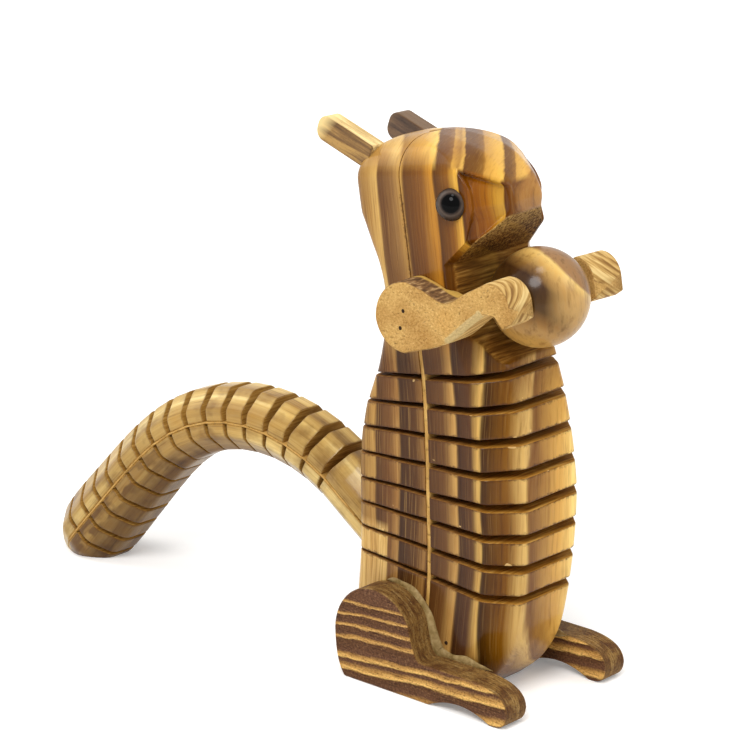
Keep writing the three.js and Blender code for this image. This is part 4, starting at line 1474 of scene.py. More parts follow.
@dataclass
class Ball:
    """Turned ball held between the paws."""

    link: Link
    blank: BodyBlank
    radius: float = 10.0
    reach: float = 21.2
    height: float = 13.8

    def build(self, finish: Material) -> None:
        """Builds the ball from rings of latitude.

        Args:
            finish: the varnished wood of the ball.
        """
        turn = np.linspace(-math.pi / 2, math.pi / 2, 82)[1:-1, None]
        about = np.linspace(0.0, 2 * math.pi, 120, endpoint=False)
        out, level = np.cos(turn), np.sin(turn) * np.ones_like(about)
        local = self.radius * np.stack([out * np.cos(about), out * np.sin(about), level], -1)
        points = local + np.array([0.0, -self.reach, self.blank.stack + self.height])
        piece = make_piece("ball_wood", Skin(local), self.link.place(points), finish)
        stand_for(piece, self.link.body, "ball_wood", "ball")


def linear(colour: str) -> tuple[float, float, float, float]:
    """Linear colour with full alpha from an sRGB hex value such as c79f5e."""
    parts = np.array([int(colour[i:i + 2], 16) for i in (0, 2, 4)]) / 255.0
    return (*np.where(parts <= 0.04045, parts / 12.92, ((parts + 0.055) / 1.055) ** 2.4).tolist(), 1.0)


MODES = {"Math": "operation", "VectorMath": "operation", "Mix": "blend_type", "Attribute": "attribute_name"}


@dataclass(frozen=True)
class Field:
    """A value over the surface, as an output of a node. Arithmetic with it adds more nodes."""

    socket: bpy.types.NodeSocket

    def __add__(self, other: Any) -> "Field":
        """Sum with a number or a field."""
        return add_node(self.socket.id_data, "Math.ADD", self, other)

    def __sub__(self, other: Any) -> "Field":
        """Difference from a number or a field."""
        return add_node(self.socket.id_data, "Math.SUBTRACT", self, other)

    def __mul__(self, other: Any) -> "Field":
        """Product with a number or a field."""
        return add_node(self.socket.id_data, "Math.MULTIPLY", self, other)

    def __truediv__(self, other: Any) -> "Field":
        """Share of a number or a field."""
        return add_node(self.socket.id_data, "Math.DIVIDE", self, other)


def add_node(tree: Tree, kind: str, *values: Any, stops: Sequence[tuple[float, str]] = ()) -> Field:
    """Adds a node with its settings and links.

    Args:
        tree: the node tree.
        kind: the node's type name after ShaderNode, and after a dot its operation, blend or attribute.
        values: what its open inputs get in order: a value, a hex colour or a field to link.
        stops: places from 0 to 1 and hex colours of a colour ramp.

    Returns:
        The node's first open output.
    """
    kind, _, mode = kind.partition(".")
    node = tree.nodes.new("ShaderNode" + kind)
    if kind == "Mix":
        node.data_type = "RGBA"
    if mode:
        setattr(node, MODES[kind], mode)
    for socket, value in zip([socket for socket in node.inputs if socket.enabled], values):
        if isinstance(value, Field):
            tree.links.new(value.socket, socket)
        else:
            socket.default_value = linear(value) if isinstance(value, str) else value
    if stops:
        elements = node.color_ramp.elements
        while len(elements) < len(stops):
            elements.new(0.5)
        for element, (at, colour) in zip(elements, stops):
            element.position = at
            element.color = linear(colour)
    return Field(next(socket for socket in node.outputs if socket.enabled))


class Finish:
    """A material being made: its tree, its shader and the steps that several finishes share."""

    def __init__(self, name: str) -> None:
        """Starts an empty material of that name with one shader.

        Args:
            name: the finish's name.
        """
        self.material = bpy.data.materials.new(name)
        self.material.use_nodes = True
        self.tree = self.material.node_tree
        self.shader = self.tree.nodes["Principled BSDF"]

    def add(self, kind: str, *values: Any, **settings: Any) -> Field:
        """Adds a node to the material's own tree."""
        return add_node(self.tree, kind, *values, **settings)

    def axes(self) -> list[Field]:
        """The three coordinates in the blank, in millimetres."""
        node = self.add("SeparateXYZ", self.add("Attribute.grain")).socket.node
        return [Field(socket) for socket in node.outputs]

    def figure(self, per_mm: tuple[float, float, float], detail: float, rough: float = 0.55,
               place: Field | None = None) -> Field:
        """Uneven figure over the blank or another place, with marks one over per_mm millimetres long."""
        place = self.add("Attribute.grain") if place is None else place
        return self.add("TexNoise", self.add("VectorMath.MULTIPLY", place, per_mm), 1.0, detail, rough)

    def relief(self, height: Field, depth_mm: float) -> None:
        """Gives the shader a relief.

        Args:
            height: the relief's height, from 0 to 1.
            depth_mm: its depth in millimetres.
        """
        normal = self.add("Bump", 1.0, depth_mm * MM)
        self.tree.links.new(height.socket, normal.socket.node.inputs["Height"])
        self.set(Normal=normal)

    def set(self, **values: Any) -> None:
        """Sets the shader's sockets.

        Args:
            values: a value or a field for each socket's name, with _ for a space.
        """
        for key, value in values.items():
            socket = self.shader.inputs[key.replace("_", " ")]
            if isinstance(value, Field):
                self.tree.links.new(value.socket, socket)
            else:
                socket.default_value = value


@dataclass(frozen=True)
class Ring:
    """One growth ring: where it starts across the blank, and its colours from dark start to light end."""

    start: float
    dark: str
    middle: str
    light: str


@dataclass(frozen=True)
class StripedPine:
    """Scorched and varnished pine: broad growth rings, each sharp and dark on one side, honey on the other.

    The rings are near-flat layers that face forwards, so they show as upright stripes on the sides, cross the
    crown from side to side and make arches where the base is carved away in front.
    """

    name: str = "varnished_striped_pine"
    rings: tuple[Ring, ...] = (
        Ring(-34.0, "8a6432", "b38c4e", "d2ae6c"), Ring(-26.0, "6a4826", "947039", "b48c4c"),
        Ring(-18.8, "4c2e14", "734d26", "a67d44"), Ring(-12.5, "3e2510", "543416", "8f6836"),
        Ring(-5.6, "47290f", "63401e", "bb9150"), Ring(2.6, "3c220e", "55351a", "d0a85c"),
        Ring(8.9, "361d02", "744907", "cfaa64"), Ring(17.3, "754b1e", "d2a250", "ffe08a"),
        Ring(25.5, "8f6430", "cfa052", "fcdc8e"), Ring(32.0, "6b4628", "a97e40", "d9b066"),
    )
    head_rings: tuple[Ring, ...] = (
        Ring(-34.0, "96703a", "ba9250", "dcb870"),
        Ring(-18.8, "7d582c", "a67e42", "d2ac64"), Ring(-12.5, "6a4826", "8a6436", "b48c4c"),
        Ring(-5.6, "5a3818", "7a5024", "bc8838"), Ring(2.6, "4f2f10", "825418", "e0b458"),
        Ring(8.9, "4c2902", "7e4a02", "905c0e"), Ring(13.2, "98681c", "b8903e", "c29a48"),
        Ring(15.9, "58330e", "643c12", "744c1e"),
        Ring(18.6, "9a7040", "bc8f56", "d0a468"), Ring(25.5, "8a6034", "c09048", "f0c878"),
    )
    # Paler than the rings below the brow: the crown's own bands, partly lightened as painted sheen of light
    # on the varnished top.
    crown_rings_and_sheen: tuple[Ring, ...] = (
        Ring(-34.0, "a67c3e", "c29a55", "dcb870"), Ring(-18.8, "a07838", "c09854", "d8b26a"),
        Ring(-6.0, "9a7238", "c49a54", "ecca7c"), Ring(3.7, "644224", "765028", "8c6636"),
        Ring(7.6, "c49c58", "a8824a", "d4ae68"), Ring(10.0, "62401a", "6c481c", "845e28"),
        Ring(14.7, "b88e4c", "d6ae62", "dcb668"), Ring(19.3, "6a481e", "765222", "906a34"),
        Ring(22.0, "c89e58", "dcb468", "cca05c"), Ring(25.4, "8e6638", "b08850", "c89c60"),
    )
    end: float = 40.0
    across: float = 0.45
    bow: float = 0.006
    lean_above: float = 28.0
    lean: float = -0.035
    crown_across: float = 0.39
    cheek: float = 13.3
    nose: float = 5.0
    brow: tuple[float, float] = (78.8, 83.0)
    head_from: tuple[float, float] = (45.0, 56.0)
    wander_mm: float = 1.8
    honey_below: float = 6.4
    honey_behind: float = -15.9

    def build(self) -> Material:
        """Makes the material.

        Returns:
            The material.
        """
        f = Finish(self.name)
        x, y, z = f.axes()
        above = f.add("Math.MAXIMUM", z - self.lean_above, 0.0)
        slow = f.figure((0.05, 0.05, 0.022), 2.0) - 0.5
        layer = x * self.across - y + x * x * self.bow + above * self.lean + slow * (2 * self.wander_mm)
        bent = f.add("CombineXYZ", layer, x, z)
        layer = layer + f.figure((1.1, 0.3, 0.06), 3.0, place=bent) - 0.5
        place = f.add("MapRange", layer, self.rings[0].start, self.end)
        trunk = f.add("ValToRGB", place, stops=self.stops(self.rings))
        head = f.add("ValToRGB", place, stops=self.stops(self.head_rings))
        colour = f.add("Mix", f.add("MapRange", z, *self.head_from), trunk, head)
        over = (x + self.cheek) * self.crown_across + layer
        place = f.add("MapRange", over, self.rings[0].start, self.end)
        # The crown's bands with painted sheen: paler than the side rings, as light on the varnished top.
        crown = f.add("ValToRGB", place, stops=self.stops(self.crown_rings_and_sheen))
        streak = f.figure((2.2, 0.3, 0.05), 4.0, 0.65, bent)
        brow = f.add("MapRange", f.add("Math.ABSOLUTE", x), self.nose, self.cheek, *self.brow)
        risen = (z - brow) / f.add("MapRange", y, -13.0, -8.0, 1.0, 5.0)
        colour = f.add("Mix", f.add("MapRange", risen, 0.0, 1.0), colour, crown)
        honey = f.add("ValToRGB", streak, stops=((0.3, "b8924f"), (0.5, "d4ae68"), (0.7, "e0c080")))
        low = f.add("MapRange", z, self.honey_below + 2.5, self.honey_below)
        low = low * f.add("MapRange", layer, self.honey_behind + 0.5, self.honey_behind)
        colour = f.add("Mix", low, colour, honey)
        amber = f.add("MapRange", z, 50.0, 60.0) * f.add("MapRange", layer, -8.0, -4.0)
        colour = f.add("Mix.MULTIPLY", amber, colour, "fff4c8")
        shade = f.add("ValToRGB", streak,
                      stops=((0.30, "7a5c3c"), (0.43, "e6d8c4"), (0.54, "ffffff"), (0.72, "fff4dc")))
        strength = f.add("MapRange", y, -1.0, 2.0, 0.5, 0.65) * f.add("MapRange", z, 77.0, 83.0, 1.0, 0.5)
        colour = f.add("Mix.MULTIPLY", strength, colour, shade)
        thread = f.figure((3.6, 0.3, 0.05), 2.0, 0.5, bent)
        pale = f.add("MapRange", thread, 0.58, 0.66) * f.add("MapRange", y, 0.5, 3.0, 0.12, 0.32)
        colour = f.add("Mix", pale, colour, "b58d50")
        blotch = f.figure((0.14, 0.14, 0.05), 2.0)
        tone = f.add("ValToRGB", blotch, stops=((0.3, "c9aa84"), (0.52, "ffffff"), (0.8, "fff1d8")))
        colour = f.add("Mix.MULTIPLY", 0.5, colour, tone)
        colour = self.burnt(f, colour)
        colour, marks = self.sawn_faces(f, colour, y, z)
        bare = f.add("Math.MAXIMUM", f.add("Attribute.sawn"), f.add("Attribute.bare"))
        f.relief(f.add("Mix", bare, streak, marks), 0.1)
        f.set(Base_Color=colour, Roughness=bare * 0.32 + 0.3, Specular_IOR_Level=0.04,
              Coat_Weight=bare * -0.25 + 0.25, Coat_Roughness=0.13)
        return f.material

    @staticmethod
    def burnt(f: Finish, colour: Field) -> Field:
        """Colour with ragged dark burns along the sawn edges and a few pale chips.

        Args:
            f: the material being made.
            colour: colour without burns.

        Returns:
            The colour.
        """
        rim = f.add("Attribute.rim")
        ragged = f.figure((1.3, 1.3, 1.6), 3.0, 0.6) - 0.5
        # Along the seam crack the rim gives painted shade rather than a burn, drawn by the same dark line.
        burn = f.add("MapRange", ragged * 1.6 + rim, 0.35, 0.85, 0.0, 0.8)
        colour = f.add("Mix", burn, colour, "44260e")
        chip = f.add("MapRange", f.figure((0.3, 0.3, 0.4), 1.0), 0.74, 0.75)
        chip = chip * f.add("MapRange", rim, 0.1, 0.25)
        return f.add("Mix", chip * 0.7, colour, "d9b474")

    @staticmethod
    def sawn_faces(f: Finish, colour: Field, y: Field, z: Field) -> tuple[Field, Field]:
        """Colour with saw cuts, bare throat and jaw, and the saw's marks.

        The cuts are golden brown in front, painted light on the lips of the wide open cuts, and darker brown
        behind, painted shade in the narrow cuts. The throat is rippled across and the jaw shows speckled end
        grain.

        Args:
            f: the material being made.
            colour: colour of the finished faces.
            y: depth in the blank.
            z: height in the blank.

        Returns:
            The colour and the marks.
        """
        marks = f.figure((0.1, 1.6, 1.6), 3.0, 0.6)
        # Painted light and shade: the cut faces are golden in front, as light on the lips of the wide open
        # cuts, and darker behind, as shade in the narrow cuts.
        painted_lit_cut = f.add("ValToRGB", marks, stops=((0.3, "7a4e16"), (0.5, "a27028"), (0.7, "c4964a")))
        burnt = f.add("ValToRGB", marks, stops=((0.35, "6a441e"), (0.7, "966832")))
        cut = f.add("Mix", f.add("MapRange", y, -7.0, -15.0), burnt, painted_lit_cut)
        colour = f.add("Mix", f.add("Attribute.sawn") * 0.9, colour, cut)
        ripple = f.add("ValToRGB", marks,
                       stops=((0.3, "46290e"), (0.48, "7a521f"), (0.62, "a27636"), (0.75, "c69a58")))
        pores = f.figure((1.7, 1.7, 1.7), 4.0, 0.75)
        speckle = f.add("ValToRGB", pores,
                        stops=((0.37, "20120a"), (0.47, "563614"), (0.56, "8a632e"), (0.66, "be9656")))
        worn = f.add("MapRange", y, -14.0, -19.0, 0.0, 0.6) * f.add("MapRange", pores, 0.42, 0.54)
        speckle = f.add("Mix", worn, speckle, "c9a868")
        jaw = f.add("MapRange", z, 64.0, 66.0)
        bare = f.add("Mix", jaw, ripple, speckle)
        colour = f.add("Mix", f.add("Attribute.bare") * 0.85, colour, bare)
        return colour, f.add("Mix", jaw, marks, pores)

    def stops(self, rings: Sequence[Ring]) -> list[tuple[float, str]]:
        """Stops of a colour ramp: each ring starts sharply dark and lightens up to the next.

        Args:
            rings: the growth rings in order.

        Returns:
            Place and hex colour of each stop.
        """
        first, stops = rings[0].start, []
        ends = [ring.start for ring in rings[1:]] + [self.end]
        for ring, end in zip(rings, ends):
            width = end - ring.start
            for share, colour in ((0.03, ring.dark), (0.6, ring.middle), (0.95, ring.light)):
                stops.append(((ring.start + share * width - first) / (self.end - first), colour))
        return stops


@dataclass(frozen=True)
class PaleTailWood:
    """Pale varnished wood with long, quiet grain, rubbed lighter on its facets and brown in its saw cuts."""

    name: str = "varnished_tail_wood"

    def build(self) -> Material:
        """Makes the material.

        Returns:
            The material.
        """
        f = Finish(self.name)
        _, y, z = f.axes()
        broad = f.figure((0.16, 0.16, 0.012), 2.0)
        colour = f.add("ValToRGB", broad, stops=(
            (0.25, "8c6c3c"), (0.42, "b08e50"), (0.52, "caaa66"), (0.64, "ecd494"), (0.8, "96743e")))
        streak = f.figure((1.6, 1.6, 0.045), 4.0, 0.65)
        shade = f.add("ValToRGB", streak,
                      stops=((0.3, "80643a"), (0.44, "eadcc0"), (0.6, "ffffff"), (0.75, "fff4d8")))
        colour = f.add("Mix.MULTIPLY", 0.55, colour, shade)
        blotch = f.figure((0.2, 0.2, 0.14), 3.0)
        tone = f.add("ValToRGB", blotch, stops=((0.3, "8e6c3a"), (0.5, "ffffff"), (0.75, "fff0cc")))
        colour = f.add("Mix.MULTIPLY", 0.6, colour, tone)
        # Painted shade: the lower half darkens away from the strip, standing in for the shade on the tail's
        # underside.
        colour = f.add("Mix.MULTIPLY", f.add("MapRange", y, 2.5, 6.5, 0.0, 0.85), colour, "785c36")
        patch = f.add("MapRange", f.figure((0.1, 0.3, 0.12), 2.0), 0.44, 0.52)
        patch = patch * f.add("MapRange", y, 5.0, 3.5) * f.add("MapRange", y, 0.2, 0.6)
        patch = patch * f.add("MapRange", z, 52.0, 68.0, 0.0, 0.8)
        colour = f.add("Mix", patch, colour, "5f3d1a")
        ends = f.add("Math.MAXIMUM", f.add("MapRange", z, 44.0, 62.0, 0.0, 0.9),
                     f.add("MapRange", z, 16.0, 6.0, 0.0, 0.8))
        colour = f.add("Mix.MULTIPLY", ends, colour, "e0dcd4")
        rim = f.figure((1.2, 1.2, 1.2), 2.0) * 0.6 + f.add("Attribute.rim")
        colour = f.add("Mix", f.add("MapRange", rim, 0.6, 1.2, 0.0, 0.6), colour, "5a3a14")
        marks = f.figure((0.15, 2.0, 2.0), 3.0, 0.6)
        cut = f.add("ValToRGB", marks, stops=((0.3, "7a5420"), (0.5, "9e7434"), (0.7, "ba904a")))
        sawn = f.add("Attribute.sawn")
        colour = f.add("Mix", sawn * 0.85, colour, cut)
        f.relief(f.add("Mix", sawn, streak, marks), 0.08)
        f.set(Base_Color=colour, Roughness=sawn * 0.28 + 0.32, Specular_IOR_Level=0.06,
              Coat_Weight=sawn * -0.25 + 0.25, Coat_Roughness=0.12)
        return f.material


@dataclass(frozen=True)
class BareBoard:
    """Bare sanded board: tan with a fuzzy fleck, slanting stripes on its sawn edges and a burnt shoulder.

    The stripes are flat layers about 1.4 mm apart, so stripe_turn is in radians for each millimetre.
    """

    name: str = "bare_sanded_board"
    slant_across: float = 0.7
    slant_along: float = 0.5
    stripe_turn: float = 4.6

    def build(self) -> Material:
        """Makes the material.

        Returns:
            The material.
        """
        f = Finish(self.name)
        x, reach, h = f.axes()
        fleck = f.figure((2.4, 1.9, 2.4), 4.0, 0.8)
        colour = f.add("ValToRGB", fleck,
                       stops=((0.3, "85612e"), (0.43, "b28a4a"), (0.57, "c59d5b"), (0.72, "dab878")))
        broad = f.figure((0.1, 0.1, 0.12), 2.0)
        tone = f.add("ValToRGB", broad, stops=((0.3, "d2bc98"), (0.55, "ffffff"), (0.8, "fff3dc")))
        colour = f.add("Mix.MULTIPLY", 0.8, colour, tone)
        pores = f.figure((2.4, 1.5, 2.4), 2.0)
        colour = f.add("Mix.MULTIPLY", 0.8, colour, f.add("MapRange", pores, 0.3, 0.37, 0.35, 1.0))
        rim = f.figure((1.0, 1.0, 1.0), 2.0) * 0.5 + f.add("Attribute.rim")
        colour = f.add("Mix", f.add("MapRange", rim, 0.7, 1.15, 0.0, 0.85), colour, "664418")
        layer = x * self.slant_across + reach * self.slant_along + h
        slanted = f.add("CombineXYZ", layer, x, reach)
        bands = f.figure((1.1, 0.12, 0.2), 3.0, 0.6, slanted)
        phase = layer * self.stripe_turn + bands * 7.0
        bands = f.add("Math.SINE", phase) * 0.055 + bands
        edge_tone = f.add("ValToRGB", bands,
                          stops=((0.34, "825c2c"), (0.43, "a68044"), (0.52, "c6a05e"), (0.66, "e0c282")))
        across = f.figure((0.35, 1.5, 1.5), 3.0, 0.6)
        burnt = f.add("ValToRGB", across,
                      stops=((0.34, "45301c"), (0.5, "68482a"), (0.6, "927148"), (0.72, "c9aa78")))
        shoulder = f.add("MapRange", h, 14.0, 15.0) * f.add("MapRange", reach, 14.5, 11.5)
        edge_tone = f.add("Mix", shoulder, edge_tone, burnt)
        lip = shoulder * f.add("MapRange", x, 3.2, 2.6)
        edge_tone = f.add("Mix", lip * 0.85, edge_tone, "c9a04a")
        sawn = f.add("Attribute.sawn")
        colour = f.add("Mix", sawn * 0.92, colour, edge_tone)
        pared = f.add("ValToRGB", fleck, stops=((0.3, "a58c58"), (0.55, "c6ab74"), (0.75, "d8c08c")))
        colour = f.add("Mix", f.add("Attribute.bare"), colour, pared)
        f.relief(f.add("Mix", sawn, fleck, bands), 0.14)
        f.set(Base_Color=colour, Roughness=0.75, Specular_IOR_Level=0.25)
        return f.material


@dataclass(frozen=True)
class ScorchedBoard:
    """Scorched softwood board: dark brown, with pale lines that run along the foot, and furry sawn edges."""

    name: str = "scorched_board"
    lines: tuple[tuple[float, float], ...] = (
        (0.2, 0.8), (4.5, 0.75), (6.9, 0.55), (11.0, 0.45), (13.6, 0.35), (16.0, 0.3), (18.4, 0.25),
    )
    top: float = 22.0
    along: float = -0.075
    across: float = 0.1
    lift: float = 1.2

    def build(self) -> Material:
        """Makes the material.

        Returns:
            The material.
        """
        f = Finish(self.name)
        x, reach, h = f.axes()
        slow = f.figure((0.08, 0.06, 0.1), 2.0) - 0.5
        fine = f.figure((0.6, 0.3, 1.8), 3.0, 0.7) - 0.5
        layer = reach * self.along + x * self.across + h + self.lift + slow * 2.0 + fine * 0.9
        colour = f.add("ValToRGB", f.add("MapRange", layer, 0.0, self.top), stops=self.stops())
        streak = f.figure((2.0, 0.14, 2.8), 4.0, 0.7)
        shade = f.add("ValToRGB", streak,
                      stops=((0.3, "6a5846"), (0.46, "e8dfd4"), (0.6, "ffffff"), (0.75, "fff0d2")))
        colour = f.add("Mix.MULTIPLY", 0.85, colour, shade)
        fuzz = f.figure((2.6, 1.8, 2.6), 4.0, 0.8)
        tufts = f.add("ValToRGB", fuzz, stops=((0.36, "5a4632"), (0.52, "ffffff")))
        colour = f.add("Mix.MULTIPLY", 0.66, colour, tufts)
        colour = f.add("Mix", f.add("MapRange", fuzz, 0.56, 0.7, 0.0, 0.5), colour, "a8845a")
        fibre = f.figure((2.4, 0.25, 0.25), 4.0, 0.65)
        edge_tone = f.add("ValToRGB", fibre,
                          stops=((0.3, "6a4517"), (0.45, "9c7236"), (0.58, "c09854"), (0.75, "dcbc7e")))
        patch = f.figure((0.3, 0.22, 0.22), 3.0)
        patch = f.add("ValToRGB", patch, stops=((0.36, "8a6433"), (0.52, "ffffff")))
        edge_tone = f.add("Mix.MULTIPLY", 0.8, edge_tone, patch)
        edge_tone = f.add("Mix.MULTIPLY", 0.85, edge_tone, tufts)
        sawn = f.add("Attribute.sawn")
        colour = f.add("Mix", sawn * 0.9, colour, edge_tone)
        rim = f.add("MapRange", f.add("Attribute.rim"), 0.5, 1.0, 0.0, 0.5)
        colour = f.add("Mix", rim, colour, "3f2818")
        f.relief(f.add("Mix", sawn, streak, fibre), 0.2)
        f.set(Base_Color=colour, Roughness=0.6, Specular_IOR_Level=0.12)
        return f.material

    def stops(self) -> list[tuple[float, str]]:
        """Stops of the colour ramp: a pale line at each place, sharp below and soft above.

        Returns:
            Place and hex colour of each stop.
        """
        stops = [(0.0, "684630")]
        for place, half in self.lines:
            pale = mix(1.2, 0.0, place / self.top)
            tones = ("5e3d22", "f4c672" if pale > 0.8 else "deb068", "be904c", "684630")
            for offset, colour in zip((-1.2 * half, -0.7 * half, 0.5 * half, 1.6 * half), tones):
                stops.append((max(place + self.lift + offset, 0.05) / self.top, colour))
        return stops


@dataclass(frozen=True)
class TurnedBall:
    """Varnished ball turned from the striped wood: broad soft bands that swirl under a clear gloss."""

    name: str = "varnished_ball_wood"
    across: float = 0.98
    deep: float = -0.46
    up: float = 1.44
    bow: float = -0.05
    first: float = -23.8
    last: float = 20.2

    def build(self) -> Material:
        """Makes the material.

        Returns:
            The material.
        """
        f = Finish(self.name)
        x, y, z = f.axes()
        swirl = f.figure((0.07, 0.07, 0.07), 2.0) - 0.5
        layer = x * self.across + y * self.deep + z * self.up + z * z * self.bow + swirl * 4.0
        place = f.add("MapRange", layer, self.first, self.last)
        tan = f.add("ValToRGB", place, stops=(
            (0.0, "bc9048"), (0.3, "aa844c"), (0.5, "b48e54"), (0.66, "c0985a"), (0.72, "dab66c"),
            (0.74, "967048"), (1.0, "86623a")))
        band = f.add("ValToRGB", place, stops=(
            (0.0, "bc9048"), (0.24, "a07a44"), (0.32, "785426"), (0.4, "48300f"), (0.56, "3c240f"),
            (0.62, "78562a"), (0.69, "c8a058"), (0.72, "dab66c"), (0.74, "967048"), (1.0, "86623a")))
        aside = x * 0.67 + y * -0.74
        aside = swirl * 8.0 + aside
        colour = f.add("Mix", f.add("MapRange", aside, 0.6, 6.0), band, tan)
        streak = f.figure((0.8, 0.8, 0.12), 4.0, 0.6)
        shade = f.add("ValToRGB", streak, stops=((0.3, "a8947c"), (0.5, "ffffff"), (0.7, "fff2da")))
        colour = f.add("Mix.MULTIPLY", 0.6, colour, shade)
        f.relief(streak, 0.03)
        f.set(Base_Color=colour, Roughness=0.3, Specular_IOR_Level=0.05, Coat_Weight=0.3,
              Coat_Roughness=0.16)
        return f.material


@dataclass(frozen=True)
class EarWood:
    """Split strip of the same pine: long streaks on the faces and a darker line along the edges."""

    name: str
    dark: str
    middle: str
    light: str
    end_colour: str
    end_mm: float = 10.0

    def build(self) -> Material:
        """Makes the material.

        Returns:
            The material.
        """
        f = Finish(self.name)
        _, along, h = f.axes()
        streak = f.figure((0.8, 0.06, 0.8), 4.0, 0.6)
        colour = f.add("ValToRGB", streak,
                       stops=((0.32, self.dark), (0.47, self.middle), (0.62, self.light)))
        fleck = f.figure((2.6, 1.6, 2.6), 2.0)
        edge = f.add("ValToRGB", streak, stops=((0.34, self.light), (0.58, self.end_colour)))
        colour = f.add("Mix", f.add("Attribute.sawn"), colour, edge)
        colour = f.add("Mix.MULTIPLY", 0.5, colour, f.add("MapRange", fleck, 0.3, 0.45, 0.5, 1.0))
        face = f.add("MapRange", f.add("Attribute.sawn"), 1.0, 0.5)
        line = f.add("MapRange", f.add("Attribute.rim"), 0.45, 0.8, 0.0, 0.75) * face
        colour = f.add("Mix", line, colour, "5b3d1c")
        # Partly painted light: the pale end colour reaches further along the bar on its upper side than on
        # its lower side, so the end is its own pale tone with painted light on its upper part.
        end = h * 0.5 + (streak * 1.2 + along)
        tip = f.add("MapRange", end, self.end_mm - 1.0, self.end_mm + 2.0, 0.0, 0.8)
        colour = f.add("Mix", tip, colour, self.end_colour)
        f.relief(streak, 0.08)
        f.set(Base_Color=colour, Roughness=0.5, Specular_IOR_Level=0.3, Coat_Weight=0.1, Coat_Roughness=0.2)
        return f.material


@dataclass(frozen=True)
class StripCloth:
    """Tan cotton tape soaked with varnish, seen as a smooth thin line."""

    name: str = "cotton_tape"

    def build(self) -> Material:
        """Makes the material.

        Returns:
            The material.
        """
        f = Finish(self.name)
        slow = f.figure((0.3, 0.8, 0.25), 3.0)
        colour = f.add("ValToRGB", slow, stops=((0.3, "906c32"), (0.5, "b48a48"), (0.7, "c8a15c")))
        f.set(Base_Color=colour, Roughness=0.5, Specular_IOR_Level=0.15)
        return f.material


@dataclass(frozen=True)
class EyeDome:
    """Clear cast dome over a black pupil and a smoke-grey ground, seen as rings about the eye's own axis."""

    name: str = "cast_eye"
    pupil_mm: float = 1.88
    radius_mm: float = 3.25

    def build(self) -> Material:
        """Makes the material.

        Returns:
            The material.
        """
        f = Finish(self.name)
        away = f.add("VectorMath.LENGTH", f.add("Attribute.grain"))
        edge = self.pupil_mm / self.radius_mm
        colour = f.add("ValToRGB", f.add("MapRange", away, 0.0, self.radius_mm), stops=(
            (0.0, "020202"), (edge - 0.05, "030303"), (edge + 0.04, "332a25"), (0.72, "55483f"),
            (0.86, "3e342e"), (0.97, "2a211b"), (1.0, "1f1813")))
        f.set(Base_Color=colour, Roughness=0.05, Specular_IOR_Level=0.07)
        return f.material


@dataclass(frozen=True)
class DriedGlue:
    """Dried wood glue mixed with dust: pale, dull and a little uneven."""

    name: str = "dried_glue"

    def build(self) -> Material:
        """Makes the material.

        Returns:
            The material.
        """
        f = Finish(self.name)
        blotch = f.figure((0.5, 0.5, 0.5), 3.0, 0.6)
        colour = f.add("ValToRGB", blotch, stops=((0.3, "6c562a"), (0.5, "887044"), (0.7, "a48c5e")))
        f.relief(blotch, 0.2)
        f.set(Base_Color=colour, Roughness=0.5, Specular_IOR_Level=0.2)
        return f.material


@dataclass(frozen=True)
class PinEnd:
    """Rusted end of a thin steel pin, sunk in the wood: nearly black."""

    name: str = "rusted_pin_end"

    def build(self) -> Material:
        """Makes the material.

        Returns:
            The material.
        """
        f = Finish(self.name)
        rust = f.figure((3.0, 3.0, 3.0), 2.0)
        colour = f.add("ValToRGB", rust, stops=((0.3, "1d130b"), (0.7, "3b2615")))
        f.set(Base_Color=colour, Roughness=0.7, Specular_IOR_Level=0.1)
        return f.material


